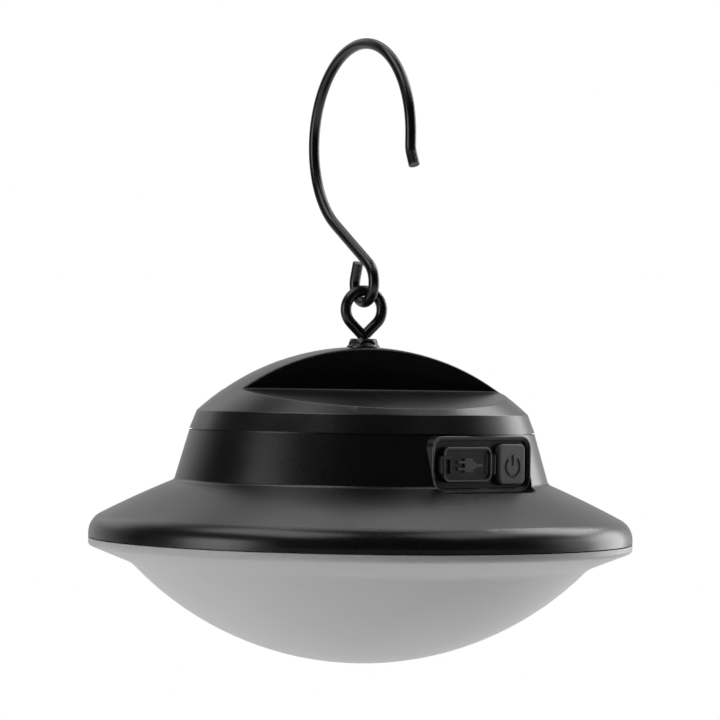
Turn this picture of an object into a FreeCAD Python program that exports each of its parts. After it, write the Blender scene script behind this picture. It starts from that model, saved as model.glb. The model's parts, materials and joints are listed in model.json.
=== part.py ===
"""Saucer-shaped hanging camping lantern with an S-hook, a port flap and a power button.

The frame has +Z up. Its origin is the inside top of the hook, straight above the lantern's axis, where
the lantern hangs. The fin of the cap runs along X. Lengths are in millimetres and angles in degrees.
"""
import FreeCAD
import Part
import math
import os
from types import SimpleNamespace

import Sketcher

V = FreeCAD.Vector
UP = V(0, 0, 1)

# Driving sizes: name, value, meaning.
SIZES = [
    ("hook_wire", 2.8, "diameter of the hook's wire"),
    ("bow_radius", 25.0, "centreline radius of the hook's large bow"),
    ("bow_rise", 39.0, "height of the bow's centre above the eye's top wire"),
    ("bow_offset", 2.8, "distance of the bow's centre behind the lantern's axis"),
    ("tip_drop", 2.5, "straight run under the bow, above the flared tip"),
    ("tip_round", 5.0, "radius of the bend into the tip"),
    ("tip_flare", 25.0, "angle of the tip away from the vertical"),
    ("tip_length", 3.4, "straight length of the tip"),
    ("bend_radius", 6.0, "radius of the bend from the shank into the small loop"),
    ("loop_radius", 4.9, "centreline radius of the small loop"),
    ("loop_lean", 19.0, "lean of the loop's free leg towards the shank"),
    ("loop_leg", 4.0, "length of the loop's free leg"),
    ("link_gap", 0.2, "room between the loop and the eye's wire"),
    ("hook_turn", 11.0, "turn of the hook's plane about the axis"),
    ("eye_wire", 2.8, "diameter of the eye's wire"),
    ("eye_radius", 4.9, "centreline radius of the eye"),
    ("eye_neck", 6.9, "distance from the eye's centre to where its legs meet"),
    ("neck_rise", 0.6, "height of that meeting point above the collar nut"),
    ("shank_diameter", 3.0, "diameter of the eye bolt's shank"),
    ("shank_room", 0.2, "radial room round the shank"),
    ("collar_flats", 6.9, "width of the collar nut across its flats"),
    ("collar_height", 2.3, "height of the collar nut"),
    ("collar_flange", 4.3, "radius of the collar nut's flange"),
    ("collar_flange_edge", 0.3, "height of the flange's edge"),
    ("collar_cone", 0.9, "height of the flange's cone"),
    ("seat_radius", 4.8, "radius of the flat under the collar nut"),
    ("seat_depth", 0.2, "depth of that flat below the top of the dome"),
    ("roof_pad", 2.8, "thickness of the cap under the collar nut"),
    ("roof_pad_radius", 6.5, "radius of the thicker middle of the cap"),
    ("washer_radius", 4.5, "radius of the washer inside the cap"),
    ("washer_thickness", 0.6, "thickness of the washer"),
    ("nut_flats", 5.5, "width of the lock nut across its flats"),
    ("nut_height", 4.0, "height of the lock nut"),
    ("shank_end", 1.0, "length of the shank below the lock nut"),
    ("rim_radius", 70.0, "largest radius of the lantern"),
    ("rim_land", 1.0, "height of the upright edge of the rim"),
    ("rim_round", 5.5, "radius of the rim's rounded edge"),
    ("flange_crown", 250.0, "radius of the flange's arched top"),
    ("waist_radius", 48.1, "radius of the foot of the cup's side"),
    ("waist_height", 15.2, "height of that foot above the rim's lower edge"),
    ("waist_round", 1.0, "radius of the hollow between the cup's side and the flange"),
    ("cup_top_radius", 44.5, "radius of the cup at the seam under the cap"),
    ("cup_height", 27.6, "height of the cup above the rim's lower edge"),
    ("seam_gap", 0.4, "height of the seam between cup and cap"),
    ("shoulder_radius", 42.75, "radius of the top of the cap's skirt"),
    ("shoulder_height", 32.45, "height of that top above the rim's lower edge"),
    ("shoulder_round", 0.7, "radius of the bend from the skirt into the dome"),
    ("dome_height", 49.5, "height of the dome above the rim's lower edge"),
    ("wall", 2.0, "wall of the mouldings"),
    ("rim_wall", 2.5, "wall of the rim where the diffuser fits"),
    ("land_height", 3.4, "height of the bore that takes the diffuser's spigot"),
    ("register_step", 2.8, "step from the cup's edge in to the register ring"),
    ("register_height", 2.2, "height of the register ring inside the cap"),
    ("register_wall", 1.8, "wall of the register ring"),
    ("register_fit", 0.3, "radial room round the register ring"),
    ("lip_drop", 4.0, "height of the lip that carries the register ring"),
    ("gasket_width", 1.7, "width of the gasket in the seam"),
    ("notch_offset", 7.7, "distance of the fin's flat walls from the axis"),
    ("notch_foot", 38.2, "height of the foot of those walls above the rim's lower edge"),
    ("notch_slope", 7.0, "fall of the ledge in front of the wall"),
    ("notch_draft", 1.0, "lean of the wall away from upright"),
    ("notch_round", 0.6, "fillet between wall and ledge"),
    ("cap_post", 3.0, "radius of the cap's screw posts"),
    ("lug_margin", 1.5, "margin of the screw lugs round those posts"),
    ("lug_thickness", 3.0, "thickness of the screw lugs"),
    ("cap_screw", 2.4, "diameter of the cap's screws"),
    ("cap_screw_grip", 6.0, "depth of the screws in the cap"),
    ("screw_room", 0.15, "radial room round a screw in a through hole"),
    ("screw_fit", 0.05, "radial room round a screw in its pilot hole"),
    ("head_height", 1.2, "height of the screw heads"),
    ("pod_turn", 23.5, "turn of the cup, and so of the control pod, about the axis"),
    ("pod_face", 44.1, "distance of the pod's rim from the axis"),
    ("pod_width", 34.2, "width of the pod"),
    ("pod_height", 14.0, "height of the pod"),
    ("pod_level", 20.5, "height of the pod's middle above the rim's lower edge"),
    ("pod_corner", 3.2, "corner radius of the pod"),
    ("pod_rim", 1.2, "width of the pod's rim"),
    ("pod_recess", 0.7, "depth of the pod's floor behind its rim"),
    ("recess_round", 0.4, "rounding of the rim's inner edge"),
    ("pod_floor", 1.8, "thickness of the pod's floor"),
    ("pod_sleeve", 1.4, "wall of the sleeve behind the pod"),
    ("pod_depth", 6.1, "depth of the sleeve behind the rim"),
    ("flap_left", 13.9, "left edge of the flap from the pod's middle"),
    ("flap_right", 2.8, "right edge of the flap from the pod's middle"),
    ("flap_height", 8.8, "height of the flap"),
    ("flap_corner", 2.0, "corner radius of the flap"),
    ("flap_gap", 0.2, "room between the flap and the pod's floor"),
    ("flap_thickness", 1.2, "thickness of the flap"),
    ("flap_round", 0.3, "rounding of the flap's outer edge"),
    ("flap_rim", 0.9, "width of the raised rim round the flap's face"),
    ("flap_dish", 0.35, "depth of the flap's face below that rim"),
    ("tab_left", 15.4, "left edge of the pull tab from the pod's middle"),
    ("tab_width", 4.2, "width of the pull tab"),
    ("tab_height", 4.4, "height of the pull tab"),
    ("tab_rise", 0.5, "height of the pull tab above the flap"),
    ("tab_lip", 0.85, "width of the pull tab's lip"),
    ("plug_width", 7.4, "width of the flap's plug"),
    ("plug_height", 1.9, "height of the flap's plug"),
    ("plug_depth", 2.0, "depth of the flap's plug behind the flap"),
    ("hinge_place", 3.9, "distance of the flap's fold line from the pod's middle"),
    ("hinge_rise", 0.9, "height of the fold line above the pod's floor"),
    ("knuckle_radius", 0.5, "radius of the bead on the fold line"),
    ("knuckle_room", 0.1, "room round the bead"),
    ("strap_height", 4.9, "height of the flap's strap"),
    ("strap_thickness", 0.6, "thickness of the flap's strap"),
    ("anchor_width", 0.8, "width of the anchor beyond the fold line"),
    ("anchor_stub", 0.4, "radius of the anchor's stub in the floor"),
    ("port_width", 9.4, "width of the port in the floor"),
    ("port_height", 3.6, "height of the port in the floor"),
    ("button_left", 5.3, "left edge of the button from the pod's middle"),
    ("button_width", 9.1, "width of the button"),
    ("button_height", 10.2, "height of the button"),
    ("button_corner", 1.6, "corner radius of the button"),
    ("button_rise", 1.65, "height of the button above the pod's floor"),
    ("button_room", 0.2, "room round the button"),
    ("button_round", 0.5, "rounding of the button's face"),
    ("button_lip", 0.35, "width of the lip that keeps the button in"),
    ("button_lip_depth", 0.8, "thickness of that lip"),
    ("button_slack", 0.2, "room between that lip and the floor"),
    ("button_post", 1.5, "radius of the post behind the button"),
    ("button_post_depth", 0.5, "length of that post"),
    ("plunger_radius", 1.7, "radius of the switch's plunger"),
    ("plunger_room", 0.15, "radial room round the plunger"),
    ("plunger_sunk", 1.1, "length of the plunger inside the switch"),
    ("switch_size", 6.0, "side of the switch's square body"),
    ("switch_height", 3.6, "height of the switch's body"),
    ("switch_bore", 2.2, "depth of the switch's bore"),
    ("socket_width", 8.9, "width of the charging socket"),
    ("socket_height", 3.2, "height of the charging socket"),
    ("socket_length", 6.5, "length of the charging socket"),
    ("socket_wall", 0.35, "wall of the charging socket"),
    ("socket_base", 1.0, "thickness of the socket's back wall"),
    ("socket_gap", 0.2, "room between the socket and the floor"),
    ("tongue_width", 6.6, "width of the socket's tongue"),
    ("tongue_thickness", 0.7, "thickness of the socket's tongue"),
    ("tongue_length", 4.4, "length of the socket's tongue"),
    ("board_width", 30.0, "width of the charging board"),
    ("board_height", 12.0, "height of the charging board"),
    ("board_thickness", 1.2, "thickness of the charging board"),
    ("board_post_left", 12.4, "left board post from the pod's middle"),
    ("board_post_right", 1.4, "right board post from the pod's middle"),
    ("board_post_radius", 1.9, "radius of the board posts"),
    ("board_screw", 1.6, "diameter of the board's screws"),
    ("board_screw_length", 6.0, "length of the board's screws under the head"),
    ("lip_height", 2.1, "height of the diffuser's upright edge"),
    ("lip_round", 1.0, "rounding of the foot of that edge"),
    ("rim_gap", 0.3, "seam between rim and diffuser"),
    ("dome_edge_radius", 59.0, "radius where the diffuser's slope meets its dome"),
    ("dome_edge_drop", 6.5, "depth of that edge below the rim"),
    ("dome_edge_round", 6.0, "fillet between the slope and the dome"),
    ("diffuser_depth", 31.85, "depth of the diffuser below the rim"),
    ("diffuser_wall", 2.0, "wall of the diffuser"),
    ("spigot_fit", 0.3, "radial room between the spigot and the rim"),
    ("spigot_wall", 1.8, "wall of the diffuser's spigot"),
    ("spigot_height", 3.2, "height of the spigot above the rim's lower edge"),
    ("seal_level", 1.0, "height of the seal above the rim's lower edge"),
    ("seal_height", 1.2, "height of the seal"),
    ("seal_depth", 0.9, "depth of the seal's groove"),
    ("plate_radius", 62.0, "radius of the reflector plate"),
    ("plate_level", 3.6, "height of the plate's underside above the rim's lower edge"),
    ("plate_thickness", 1.6, "thickness of the reflector plate"),
    ("plate_screw_radius", 52.0, "distance of the plate's screws from the axis"),
    ("plate_boss", 2.8, "radius of the bosses above the plate"),
    ("plate_screw", 2.4, "diameter of the plate's screws"),
    ("plate_screw_grip", 4.0, "depth of the plate's screws in the bosses"),
    ("lead_hole", 2.5, "radius of the hole for the leads in the plate"),
    ("led_board_radius", 44.0, "radius of the LED board"),
    ("led_board_thickness", 1.2, "thickness of the LED board"),
    ("led_length", 3.5, "length of an LED"),
    ("led_width", 2.8, "width of an LED"),
    ("led_height", 0.8, "height of an LED"),
    ("led_outer_radius", 38.0, "radius of the outer circle of LEDs"),
    ("led_inner_radius", 22.0, "radius of the inner circle of LEDs"),
    ("cell_diameter", 18.3, "diameter of a battery cell"),
    ("cell_length", 65.0, "length of a battery cell"),
    ("cell_place", 5.3, "distance of the battery's middle behind the axis"),
    ("cell_bed", 1.2, "height of the cells above the reflector plate"),
    ("cell_room", 0.1, "radial room round a cell in its cradle"),
    ("cell_end_room", 0.4, "room at each end of a cell"),
    ("link_thickness", 0.2, "thickness of the links between the cells"),
    ("link_height", 6.0, "height of the links"),
    ("cradle_wall", 2.0, "wall of the battery cradle"),
    ("cradle_height", 7.0, "height of the battery cradle"),
    ("ear_thickness", 1.4, "thickness of the cradle's ears"),
    ("ear_length", 6.5, "length of the cradle's ears"),
    ("band_width", 12.0, "width of the strap over the cells"),
    ("band_thickness", 0.8, "thickness of the strap over the cells"),
    ("band_room", 0.25, "room between that strap and the cells"),
    ("band_screw", 2.0, "diameter of the strap's screws"),
]
LED_COUNT_OUTER = 24
LED_COUNT_INNER = 12
LUG_COUNT = 3
PLATE_SCREW_COUNT = 4
HEX = 6
FULL_TURN = 360
HEAD_RATIO = 1.8  # head diameter of a screw over its shank diameter
INSIDE_CORNER = 0.8  # share of the wall that an inside corner moves along each axis
DIFFUSER_CORNER = (0.55, 0.85)  # the same inside the diffuser's edge, along the radius and along the axis
PILL = 0.49  # corner radius of a slot with nearly round ends over its height
SHELL_CORNER = 0.45  # corner radius of the charging socket's shell over its height
BOW_GUESS = 31  # first guess of the angle at which the hook's bow meets its straight leg
RIM_GUESS = 60  # first guess of the angle at which the rim's edge meets the flange
CLEAR = 5.0  # reach of a cutting shape past the solid that it cuts


class Size:
    """A size as a number and as the sheet's expression for it, so that sums of sizes stay bound."""

    def __init__(self, value, text=None):
        self.value = float(value)
        self.text = text or repr(float(value))

    @staticmethod
    def of(item):
        return item if isinstance(item, Size) else Size(item)

    def joined(self, sign, other, value):
        return Size(value, f"({self.text} {sign} {other.text})")

    def __add__(self, other):
        other = Size.of(other)
        return self.joined("+", other, self.value + other.value)

    def __sub__(self, other):
        other = Size.of(other)
        return self.joined("-", other, self.value - other.value)

    def __mul__(self, other):
        other = Size.of(other)
        return self.joined("*", other, self.value * other.value)

    def __truediv__(self, other):
        other = Size.of(other)
        return self.joined("/", other, self.value / other.value)

    def __radd__(self, other):
        return Size.of(other) + self

    def __rsub__(self, other):
        return Size.of(other) - self

    def __rmul__(self, other):
        return Size.of(other) * self

    def __neg__(self):
        return Size(-self.value, f"(-{self.text})")


def sine(angle):
    angle = Size.of(angle)
    return Size(math.sin(math.radians(angle.value)), f"sin({angle.text})")


def cosine(angle):
    angle = Size.of(angle)
    return Size(math.cos(math.radians(angle.value)), f"cos({angle.text})")


def slope_of(angle):
    angle = Size.of(angle)
    return Size(math.tan(math.radians(angle.value)), f"tan({angle.text})")


def root(square):
    return Size(math.sqrt(square.value), f"sqrt({square.text})")


doc = FreeCAD.newDocument("lantern")
sheet = doc.addObject("Spreadsheet::Sheet", "Sizes")
for row, (alias, number, meaning) in enumerate(SIZES, start=1):
    sheet.set(f"A{row}", alias)
    sheet.set(f"B{row}", str(number))
    sheet.set(f"C{row}", meaning)
    sheet.setAlias(f"B{row}", alias)
doc.recompute()
d = SimpleNamespace(**{alias: Size(sheet.get(alias), f"Sizes.{alias}") for alias, _, _ in SIZES})
nodes = []


def bind(item, path, size):
    item.setExpression(path, Size.of(size).text)


def new_body(name):
    return doc.addObject("PartDesign::Body", name)


def origin_part(body, role):
    return next(item for item in body.Origin.OriginFeatures if item.Role == role)


def new_sketch(body, name, role, lift=None):
    """A sketch on one of the body's origin planes, moved along the plane's normal by lift."""
    sketch = body.newObject("Sketcher::SketchObject", name)
    sketch.AttachmentSupport = [(origin_part(body, role), "")]
    sketch.MapMode = "FlatFace"
    if lift is not None:
        bind(sketch, "AttachmentOffset.Base.z", lift)
    return sketch


def measure(sketch, size, kind, *where):
    """A dimension bound to the sheet."""
    value = math.radians(size.value) if kind == "Angle" else size.value
    index = sketch.addConstraint(Sketcher.Constraint(kind, *where, value))
    bind(sketch, f"Constraints[{index}]", size)


def pin(sketch, edge, end, x, y):
    """Tie a point of a sketch to its coordinates; None leaves that coordinate free."""
    for size, kind, axis in ((x, "DistanceX", -2), (y, "DistanceY", -1)):
        if size is None:
            continue
        size = Size.of(size)
        if size.value == 0:
            sketch.addConstraint(Sketcher.Constraint("PointOnObject", edge, end, axis))
        else:
            measure(sketch, size, kind, -1, 1, edge, end)


class Arc:
    """A round stretch of an outline; side is 1 where it turns left and -1 where it turns right.

    A major arc goes round more than half of its circle.
    """

    def __init__(self, radius, side, major=False):
        self.radius = Size.of(radius)
        self.side = side
        self.major = major

    def geometry(self, start, end):
        chord = end - start
        left = V(-chord.y, chord.x, 0).normalize()
        rise = math.sqrt(max(self.radius.value ** 2 - (chord.Length / 2) ** 2, 0))
        reach = rise * self.side * (-1 if self.major else 1)
        return arc_about((start + end) / 2 + left * reach, start, end, self.side)


class AxisArc:
    """A round stretch of an outline whose centre lies on the axis of revolution."""

    radius = None

    def geometry(self, start, end):
        level = (start.Length ** 2 - end.Length ** 2) / (2 * (start.y - end.y))
        centre = V(0, level, 0)
        self.side = 1 if (start - centre).cross(end - centre).z > 0 else -1
        return arc_about(centre, start, end, self.side)


def arc_about(centre, start, end, side):
    first, last = (start, end) if side > 0 else (end, start)
    angles = [math.atan2(point.y - centre.y, point.x - centre.x) for point in (first, last)]
    return Part.ArcOfCircle(Part.Circle(centre, UP, (start - centre).Length), *angles)


def outline(sketch, corners, arcs=None, smooth=(), loose=(), closed=True):
    """Draw a chain of lines and arcs through corners, and return its edges.

    A corner is pinned to its coordinates unless it is loose, which leaves it to its neighbours, and two
    edges run on without a kink at a smooth corner.
    """
    arcs = arcs or {}
    points = [V(Size.of(x).value, Size.of(y).value, 0) for x, y in corners]
    count = len(corners) if closed else len(corners) - 1
    chain = []
    for step in range(count):
        start, end = points[step], points[(step + 1) % len(points)]
        arc = arcs.get(step)
        shape = arc.geometry(start, end) if arc else Part.LineSegment(start, end)
        ends = (1, 2) if arc is None or arc.side > 0 else (2, 1)
        chain.append((sketch.addGeometry(shape), *ends))
    for step in range(0 if closed else 1, count):
        before, _, last = chain[step - 1]
        after, first, _ = chain[step]
        kind = "Tangent" if step in smooth else "Coincident"
        sketch.addConstraint(Sketcher.Constraint(kind, before, last, after, first))
    for step, (x, y) in enumerate(corners):
        if step not in loose:
            edge, end = chain[step][:2] if step < count else (chain[-1][0], chain[-1][2])
            pin(sketch, edge, end, x, y)
    for step, arc in arcs.items():
        if arc.radius is None:
            sketch.addConstraint(Sketcher.Constraint("PointOnObject", chain[step][0], 3, -2))
        else:
            measure(sketch, arc.radius, "Radius", chain[step][0])
    return [edge for edge, _, _ in chain]


def box_outline(sketch, left, right, low, high):
    outline(sketch, [(left, low), (right, low), (right, high), (left, high)])


def round_box(sketch, left, right, low, high, corner):
    """A rectangle with rounded corners, drawn anticlockwise from the left end of its lower side."""
    corners = [
        (left + corner, low), (right - corner, low), (right, low + corner), (right, high - corner),
        (right - corner, high), (left + corner, high), (left, high - corner), (left, low + corner),
    ]
    arcs = {step: Arc(corner, 1) for step in (1, 3, 5, 7)}
    outline(sketch, corners, arcs)


def circle(sketch, x, y, radius):
    radius = Size.of(radius)
    edge = sketch.addGeometry(Part.Circle(V(Size.of(x).value, Size.of(y).value, 0), UP, radius.value))
    pin(sketch, edge, 3, x, y)
    measure(sketch, radius, "Radius", edge)


def hexagon(sketch, flats):
    """A regular hexagon about the origin, with two corners on the sketch's x axis."""
    reach = flats / (2 * cosine(FULL_TURN / HEX / 2))
    outline(sketch, [
        (reach, 0), (reach / 2, flats / 2), (-reach / 2, flats / 2),
        (-reach, 0), (-reach / 2, -flats / 2), (reach / 2, -flats / 2),
    ])


def volume_of(body):
    return 0 if body.Shape.isNull() else body.Shape.Volume


def feature(body, kind, name, profile, **settings):
    """Add a sketched feature, and make sure that it adds or cuts material."""
    doc.recompute()
    before = volume_of(body)
    made = body.newObject(f"PartDesign::{kind}", name)
    made.Profile = profile
    for key, value in settings.items():
        if isinstance(value, Size):
            bind(made, key, value)
        else:
            setattr(made, key, value)
    doc.recompute()
    grows = kind not in ("Pocket", "Groove")
    if (body.Shape.Volume > before) != grows or body.Shape.Volume == before:
        raise RuntimeError(f"{body.Label}: {name} changes nothing")
    return made


def pad(body, name, sketch, length, **settings):
    return feature(body, "Pad", name, sketch, Length=Size.of(length), **settings)


def pocket(body, name, sketch, length=None, **settings):
    if length is None:
        return feature(body, "Pocket", name, sketch, Type="ThroughAll", **settings)
    return feature(body, "Pocket", name, sketch, Length=Size.of(length), **settings)


def revolve(body, name, sketch, kind="Revolution"):
    return feature(body, kind, name, sketch, ReferenceAxis=(sketch, ["V_Axis"]), Angle=FULL_TURN)


def circle_copies(body, name, originals, count):
    made = body.newObject("PartDesign::PolarPattern", name)
    made.Originals = originals
    made.Axis = (origin_part(body, "Z_Axis"), [""])
    made.Angle = FULL_TURN
    made.Occurrences = count
    body.Tip = made
    doc.recompute()
    return made


def mirror(body, name, originals, role):
    made = body.newObject("PartDesign::Mirrored", name)
    made.Originals = originals
    made.MirrorPlane = (origin_part(body, role), [""])
    body.Tip = made
    doc.recompute()
    return made


def fillet(body, name, radius, wanted):
    """Round the edges of the body's tip for which wanted(edge) is true."""
    doc.recompute()
    base = body.Tip
    names = [f"Edge{number}" for number, edge in enumerate(base.Shape.Edges, start=1) if wanted(edge)]
    if not names:
        raise RuntimeError(f"{body.Label}: {name} finds no edge")
    made = body.newObject("PartDesign::Fillet", name)
    made.Base = (base, names)
    bind(made, "Radius", radius)
    doc.recompute()
    return made


def near(first, second, room=0.02):
    return abs(first - second) < room


def ring_edge(radius, level):
    """A test for an edge that lies on a circle about the axis."""
    def test(edge):
        ends = [vertex.Point for vertex in edge.Vertexes]
        points = ends + [edge.valueAt((edge.FirstParameter + edge.LastParameter) / 2)]
        return all(near(math.hypot(p.x, p.y), radius.value) and near(p.z, level.value) for p in points)
    return test


def place(item, label, level, turn=None):
    """Name a finished piece and set it in the shared frame."""
    item.Label = label
    item.Placement = FreeCAD.Placement(V(0, 0, 0), FreeCAD.Rotation(UP, 1))
    bind(item, "Placement.Base.z", level)
    bind(item, "Placement.Rotation.Angle", turn if turn is not None else Size(0))
    nodes.append(item)
    return item


# Heights of the shared frame: the eye's top wire hangs below the inside top of the hook, and the rim's
# lower edge, from which the lantern's own heights are measured, hangs below the eye.
hang_rise = d.bow_rise + root(d.bow_radius * d.bow_radius - d.bow_offset * d.bow_offset) - d.hook_wire / 2
seat_level = d.dome_height - d.seat_depth
eye_level = seat_level + d.collar_height + d.neck_rise + d.eye_neck
rim_level = -(hang_rise + eye_level + d.eye_radius)


def lay_wire(body, name, path, first_edge, edges, wire):
    """Run a round wire along a path sketch."""
    section = body.newObject("Sketcher::SketchObject", f"{name}_section")
    section.AttachmentSupport = [(path, first_edge), (path, "Vertex1")]
    section.MapMode = "NormalToEdge"
    circle(section, 0, 0, wire / 2)
    doc.recompute()
    made = body.newObject("PartDesign::AdditivePipe", name)
    made.Profile = section
    made.Spine = (path, edges)
    doc.recompute()
    length = sum(edge.Length for edge in path.Shape.Edges)
    tube = math.pi * (wire.value / 2) ** 2 * length
    if not near(made.Shape.Volume, tube, 0.01 * tube):
        raise RuntimeError(f"{body.Label}: {name} has the wrong volume")
    return made


def make_hook():
    """The S-hook, bent in one plane, drawn from the tip to the free end of the small loop."""
    body = new_body("hook_body")
    path = new_sketch(body, "hook_path", "XZ_Plane")
    loop_level = d.loop_radius - d.hook_wire / 2 - d.eye_wire / 2 - d.link_gap
    bow_side = d.bow_radius - d.bow_offset
    leg_foot = d.bow_rise - d.tip_drop
    out, down = sine(d.tip_flare), cosine(d.tip_flare)
    flare_end = (bow_side + d.tip_round * (1 - down), leg_foot - d.tip_round * out)
    tip_end = (flare_end[0] + d.tip_length * out, flare_end[1] - d.tip_length * down)
    across, along = sine(BOW_GUESS), cosine(BOW_GUESS)
    bow_end = (-d.bow_offset - d.bow_radius * across, d.bow_rise - d.bow_radius * along)
    bend_start = (d.loop_radius - d.bend_radius * (1 - across), loop_level + d.bend_radius * along)
    loop_end = (-d.loop_radius * cosine(d.loop_lean), loop_level + d.loop_radius * sine(d.loop_lean))
    leg_end = (loop_end[0] + d.loop_leg * sine(d.loop_lean), loop_end[1] + d.loop_leg * cosine(d.loop_lean))
    corners = [
        tip_end, flare_end, (bow_side, leg_foot), (bow_side, d.bow_rise), bow_end, bend_start,
        (d.loop_radius, loop_level), loop_end, leg_end,
    ]
    arcs = {
        1: Arc(d.tip_round, -1), 3: Arc(d.bow_radius, 1, major=True), 5: Arc(d.bend_radius, -1),
        6: Arc(d.loop_radius, -1, major=True),
    }
    edges = outline(path, corners, arcs, smooth=range(1, 8), loose=(0, 1, 4, 5, 6, 7, 8), closed=False)
    measure(path, 90 + d.tip_flare, "Angle", edges[0])
    measure(path, d.tip_length, "Distance", edges[0])
    pin(path, edges[6], 3, 0, loop_level)
    pin(path, edges[6], 2, None, loop_level)
    measure(path, 90 - d.loop_lean, "Angle", edges[7])
    measure(path, d.loop_leg, "Distance", edges[7])
    doc.recompute()
    lay_wire(body, "hook_tube", path, "Edge1", [f"Edge{n}" for n in range(1, 9)], d.hook_wire)
    place(body, "hook", -hang_rise, d.hook_turn - 90)


def make_eye_bolt():
    """The wire eye, drawn as one half and mirrored, on a straight shank."""
    body = new_body("eye_bolt_body")
    path = new_sketch(body, "eye_path", "XZ_Plane")
    reach = d.eye_radius * d.eye_radius / d.eye_neck
    side = root(d.eye_radius * d.eye_radius - reach * reach)
    edges = outline(
        path, [(0, d.eye_radius), (-side, -reach), (0, -d.eye_neck)], {0: Arc(d.eye_radius, 1)},
        smooth=(1,), loose=(0, 1), closed=False,
    )
    pin(path, edges[0], 3, 0, 0)
    pin(path, edges[0], 1, 0, None)
    doc.recompute()
    half = lay_wire(body, "eye_half", path, "Edge1", ["Edge1", "Edge2"], d.eye_wire)
    mirror(body, "eye_halves", [half], "YZ_Plane")
    below_seat = d.roof_pad + d.washer_thickness + d.nut_height + d.shank_end
    shank = new_sketch(body, "shank_outline", "XY_Plane", -d.eye_neck)
    circle(shank, 0, 0, d.shank_diameter / 2)
    shank_length = d.neck_rise + d.collar_height + below_seat
    pad(body, "shank", shank, shank_length, Reversed=True)
    place(body, "eye_bolt", rim_level + eye_level)


def turned(label, corners, level, turn=None, arcs=None):
    """A plain turned piece."""
    body = new_body(f"{label}_body")
    sketch = new_sketch(body, f"{label}_outline", "XZ_Plane")
    outline(sketch, corners, arcs)
    revolve(body, f"{label}_turned", sketch)
    return place(body, label, level, turn)


def make_eye_fittings():
    """The flanged collar nut on the dome, and the washer and lock nut under the roof."""
    bore = d.shank_diameter / 2 + d.shank_room
    collar = new_body("collar_body")
    flange = new_sketch(collar, "collar_flange_outline", "XZ_Plane")
    cone_top = d.collar_flange_edge + d.collar_cone
    outline(flange, [
        (bore, 0), (d.collar_flange, 0), (d.collar_flange, d.collar_flange_edge),
        (d.collar_flats / 2, cone_top), (bore, cone_top),
    ])
    revolve(collar, "collar_flange_turned", flange)
    hexes = new_sketch(collar, "collar_hexagon", "XY_Plane", d.collar_flange_edge)
    hexagon(hexes, d.collar_flats)
    circle(hexes, 0, 0, bore)
    pad(collar, "collar_hexagon_pad", hexes, d.collar_height - d.collar_flange_edge)
    place(collar, "eye_collar_nut", rim_level + seat_level)
    washer_top = seat_level - d.roof_pad
    turned("eye_washer", [
        (bore, -d.washer_thickness), (d.washer_radius, -d.washer_thickness), (d.washer_radius, 0), (bore, 0),
    ], rim_level + washer_top)
    nut = new_body("lock_nut_body")
    nut_outline = new_sketch(nut, "lock_nut_outline", "XY_Plane")
    hexagon(nut_outline, d.nut_flats)
    circle(nut_outline, 0, 0, d.shank_diameter / 2 + d.screw_fit)
    pad(nut, "lock_nut_pad", nut_outline, d.nut_height, Reversed=True)
    place(nut, "eye_lock_nut", rim_level + washer_top - d.washer_thickness)


cap_base = d.cup_height + d.seam_gap
register_radius = d.cup_top_radius - d.register_step
register_top = d.cup_height + d.register_height
register_inner = register_radius - d.register_wall
lug_radius = register_inner - d.register_fit - d.cap_post
LUG_START = (-lug_radius * sine(d.pod_turn), lug_radius * cosine(d.pod_turn))


def cut_notches(body, name, inset):
    """Cut the two flats beside the fin, each moved into the cap by inset."""
    offset = d.notch_offset - inset
    foot = d.notch_foot - inset
    reach = d.shoulder_radius + CLEAR
    top = d.dome_height + CLEAR
    sketch = new_sketch(body, f"{name}_outline", "YZ_Plane")
    outline(sketch, [
        (-offset, foot), (-offset + (top - foot) * slope_of(d.notch_draft), top), (-reach, top),
        (-reach, foot - (reach - offset) * slope_of(d.notch_slope)),
    ])
    cut = pocket(body, name, sketch, SideType="Symmetric")
    mirror(body, f"{name}_pair", [cut], "XZ_Plane")


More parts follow.
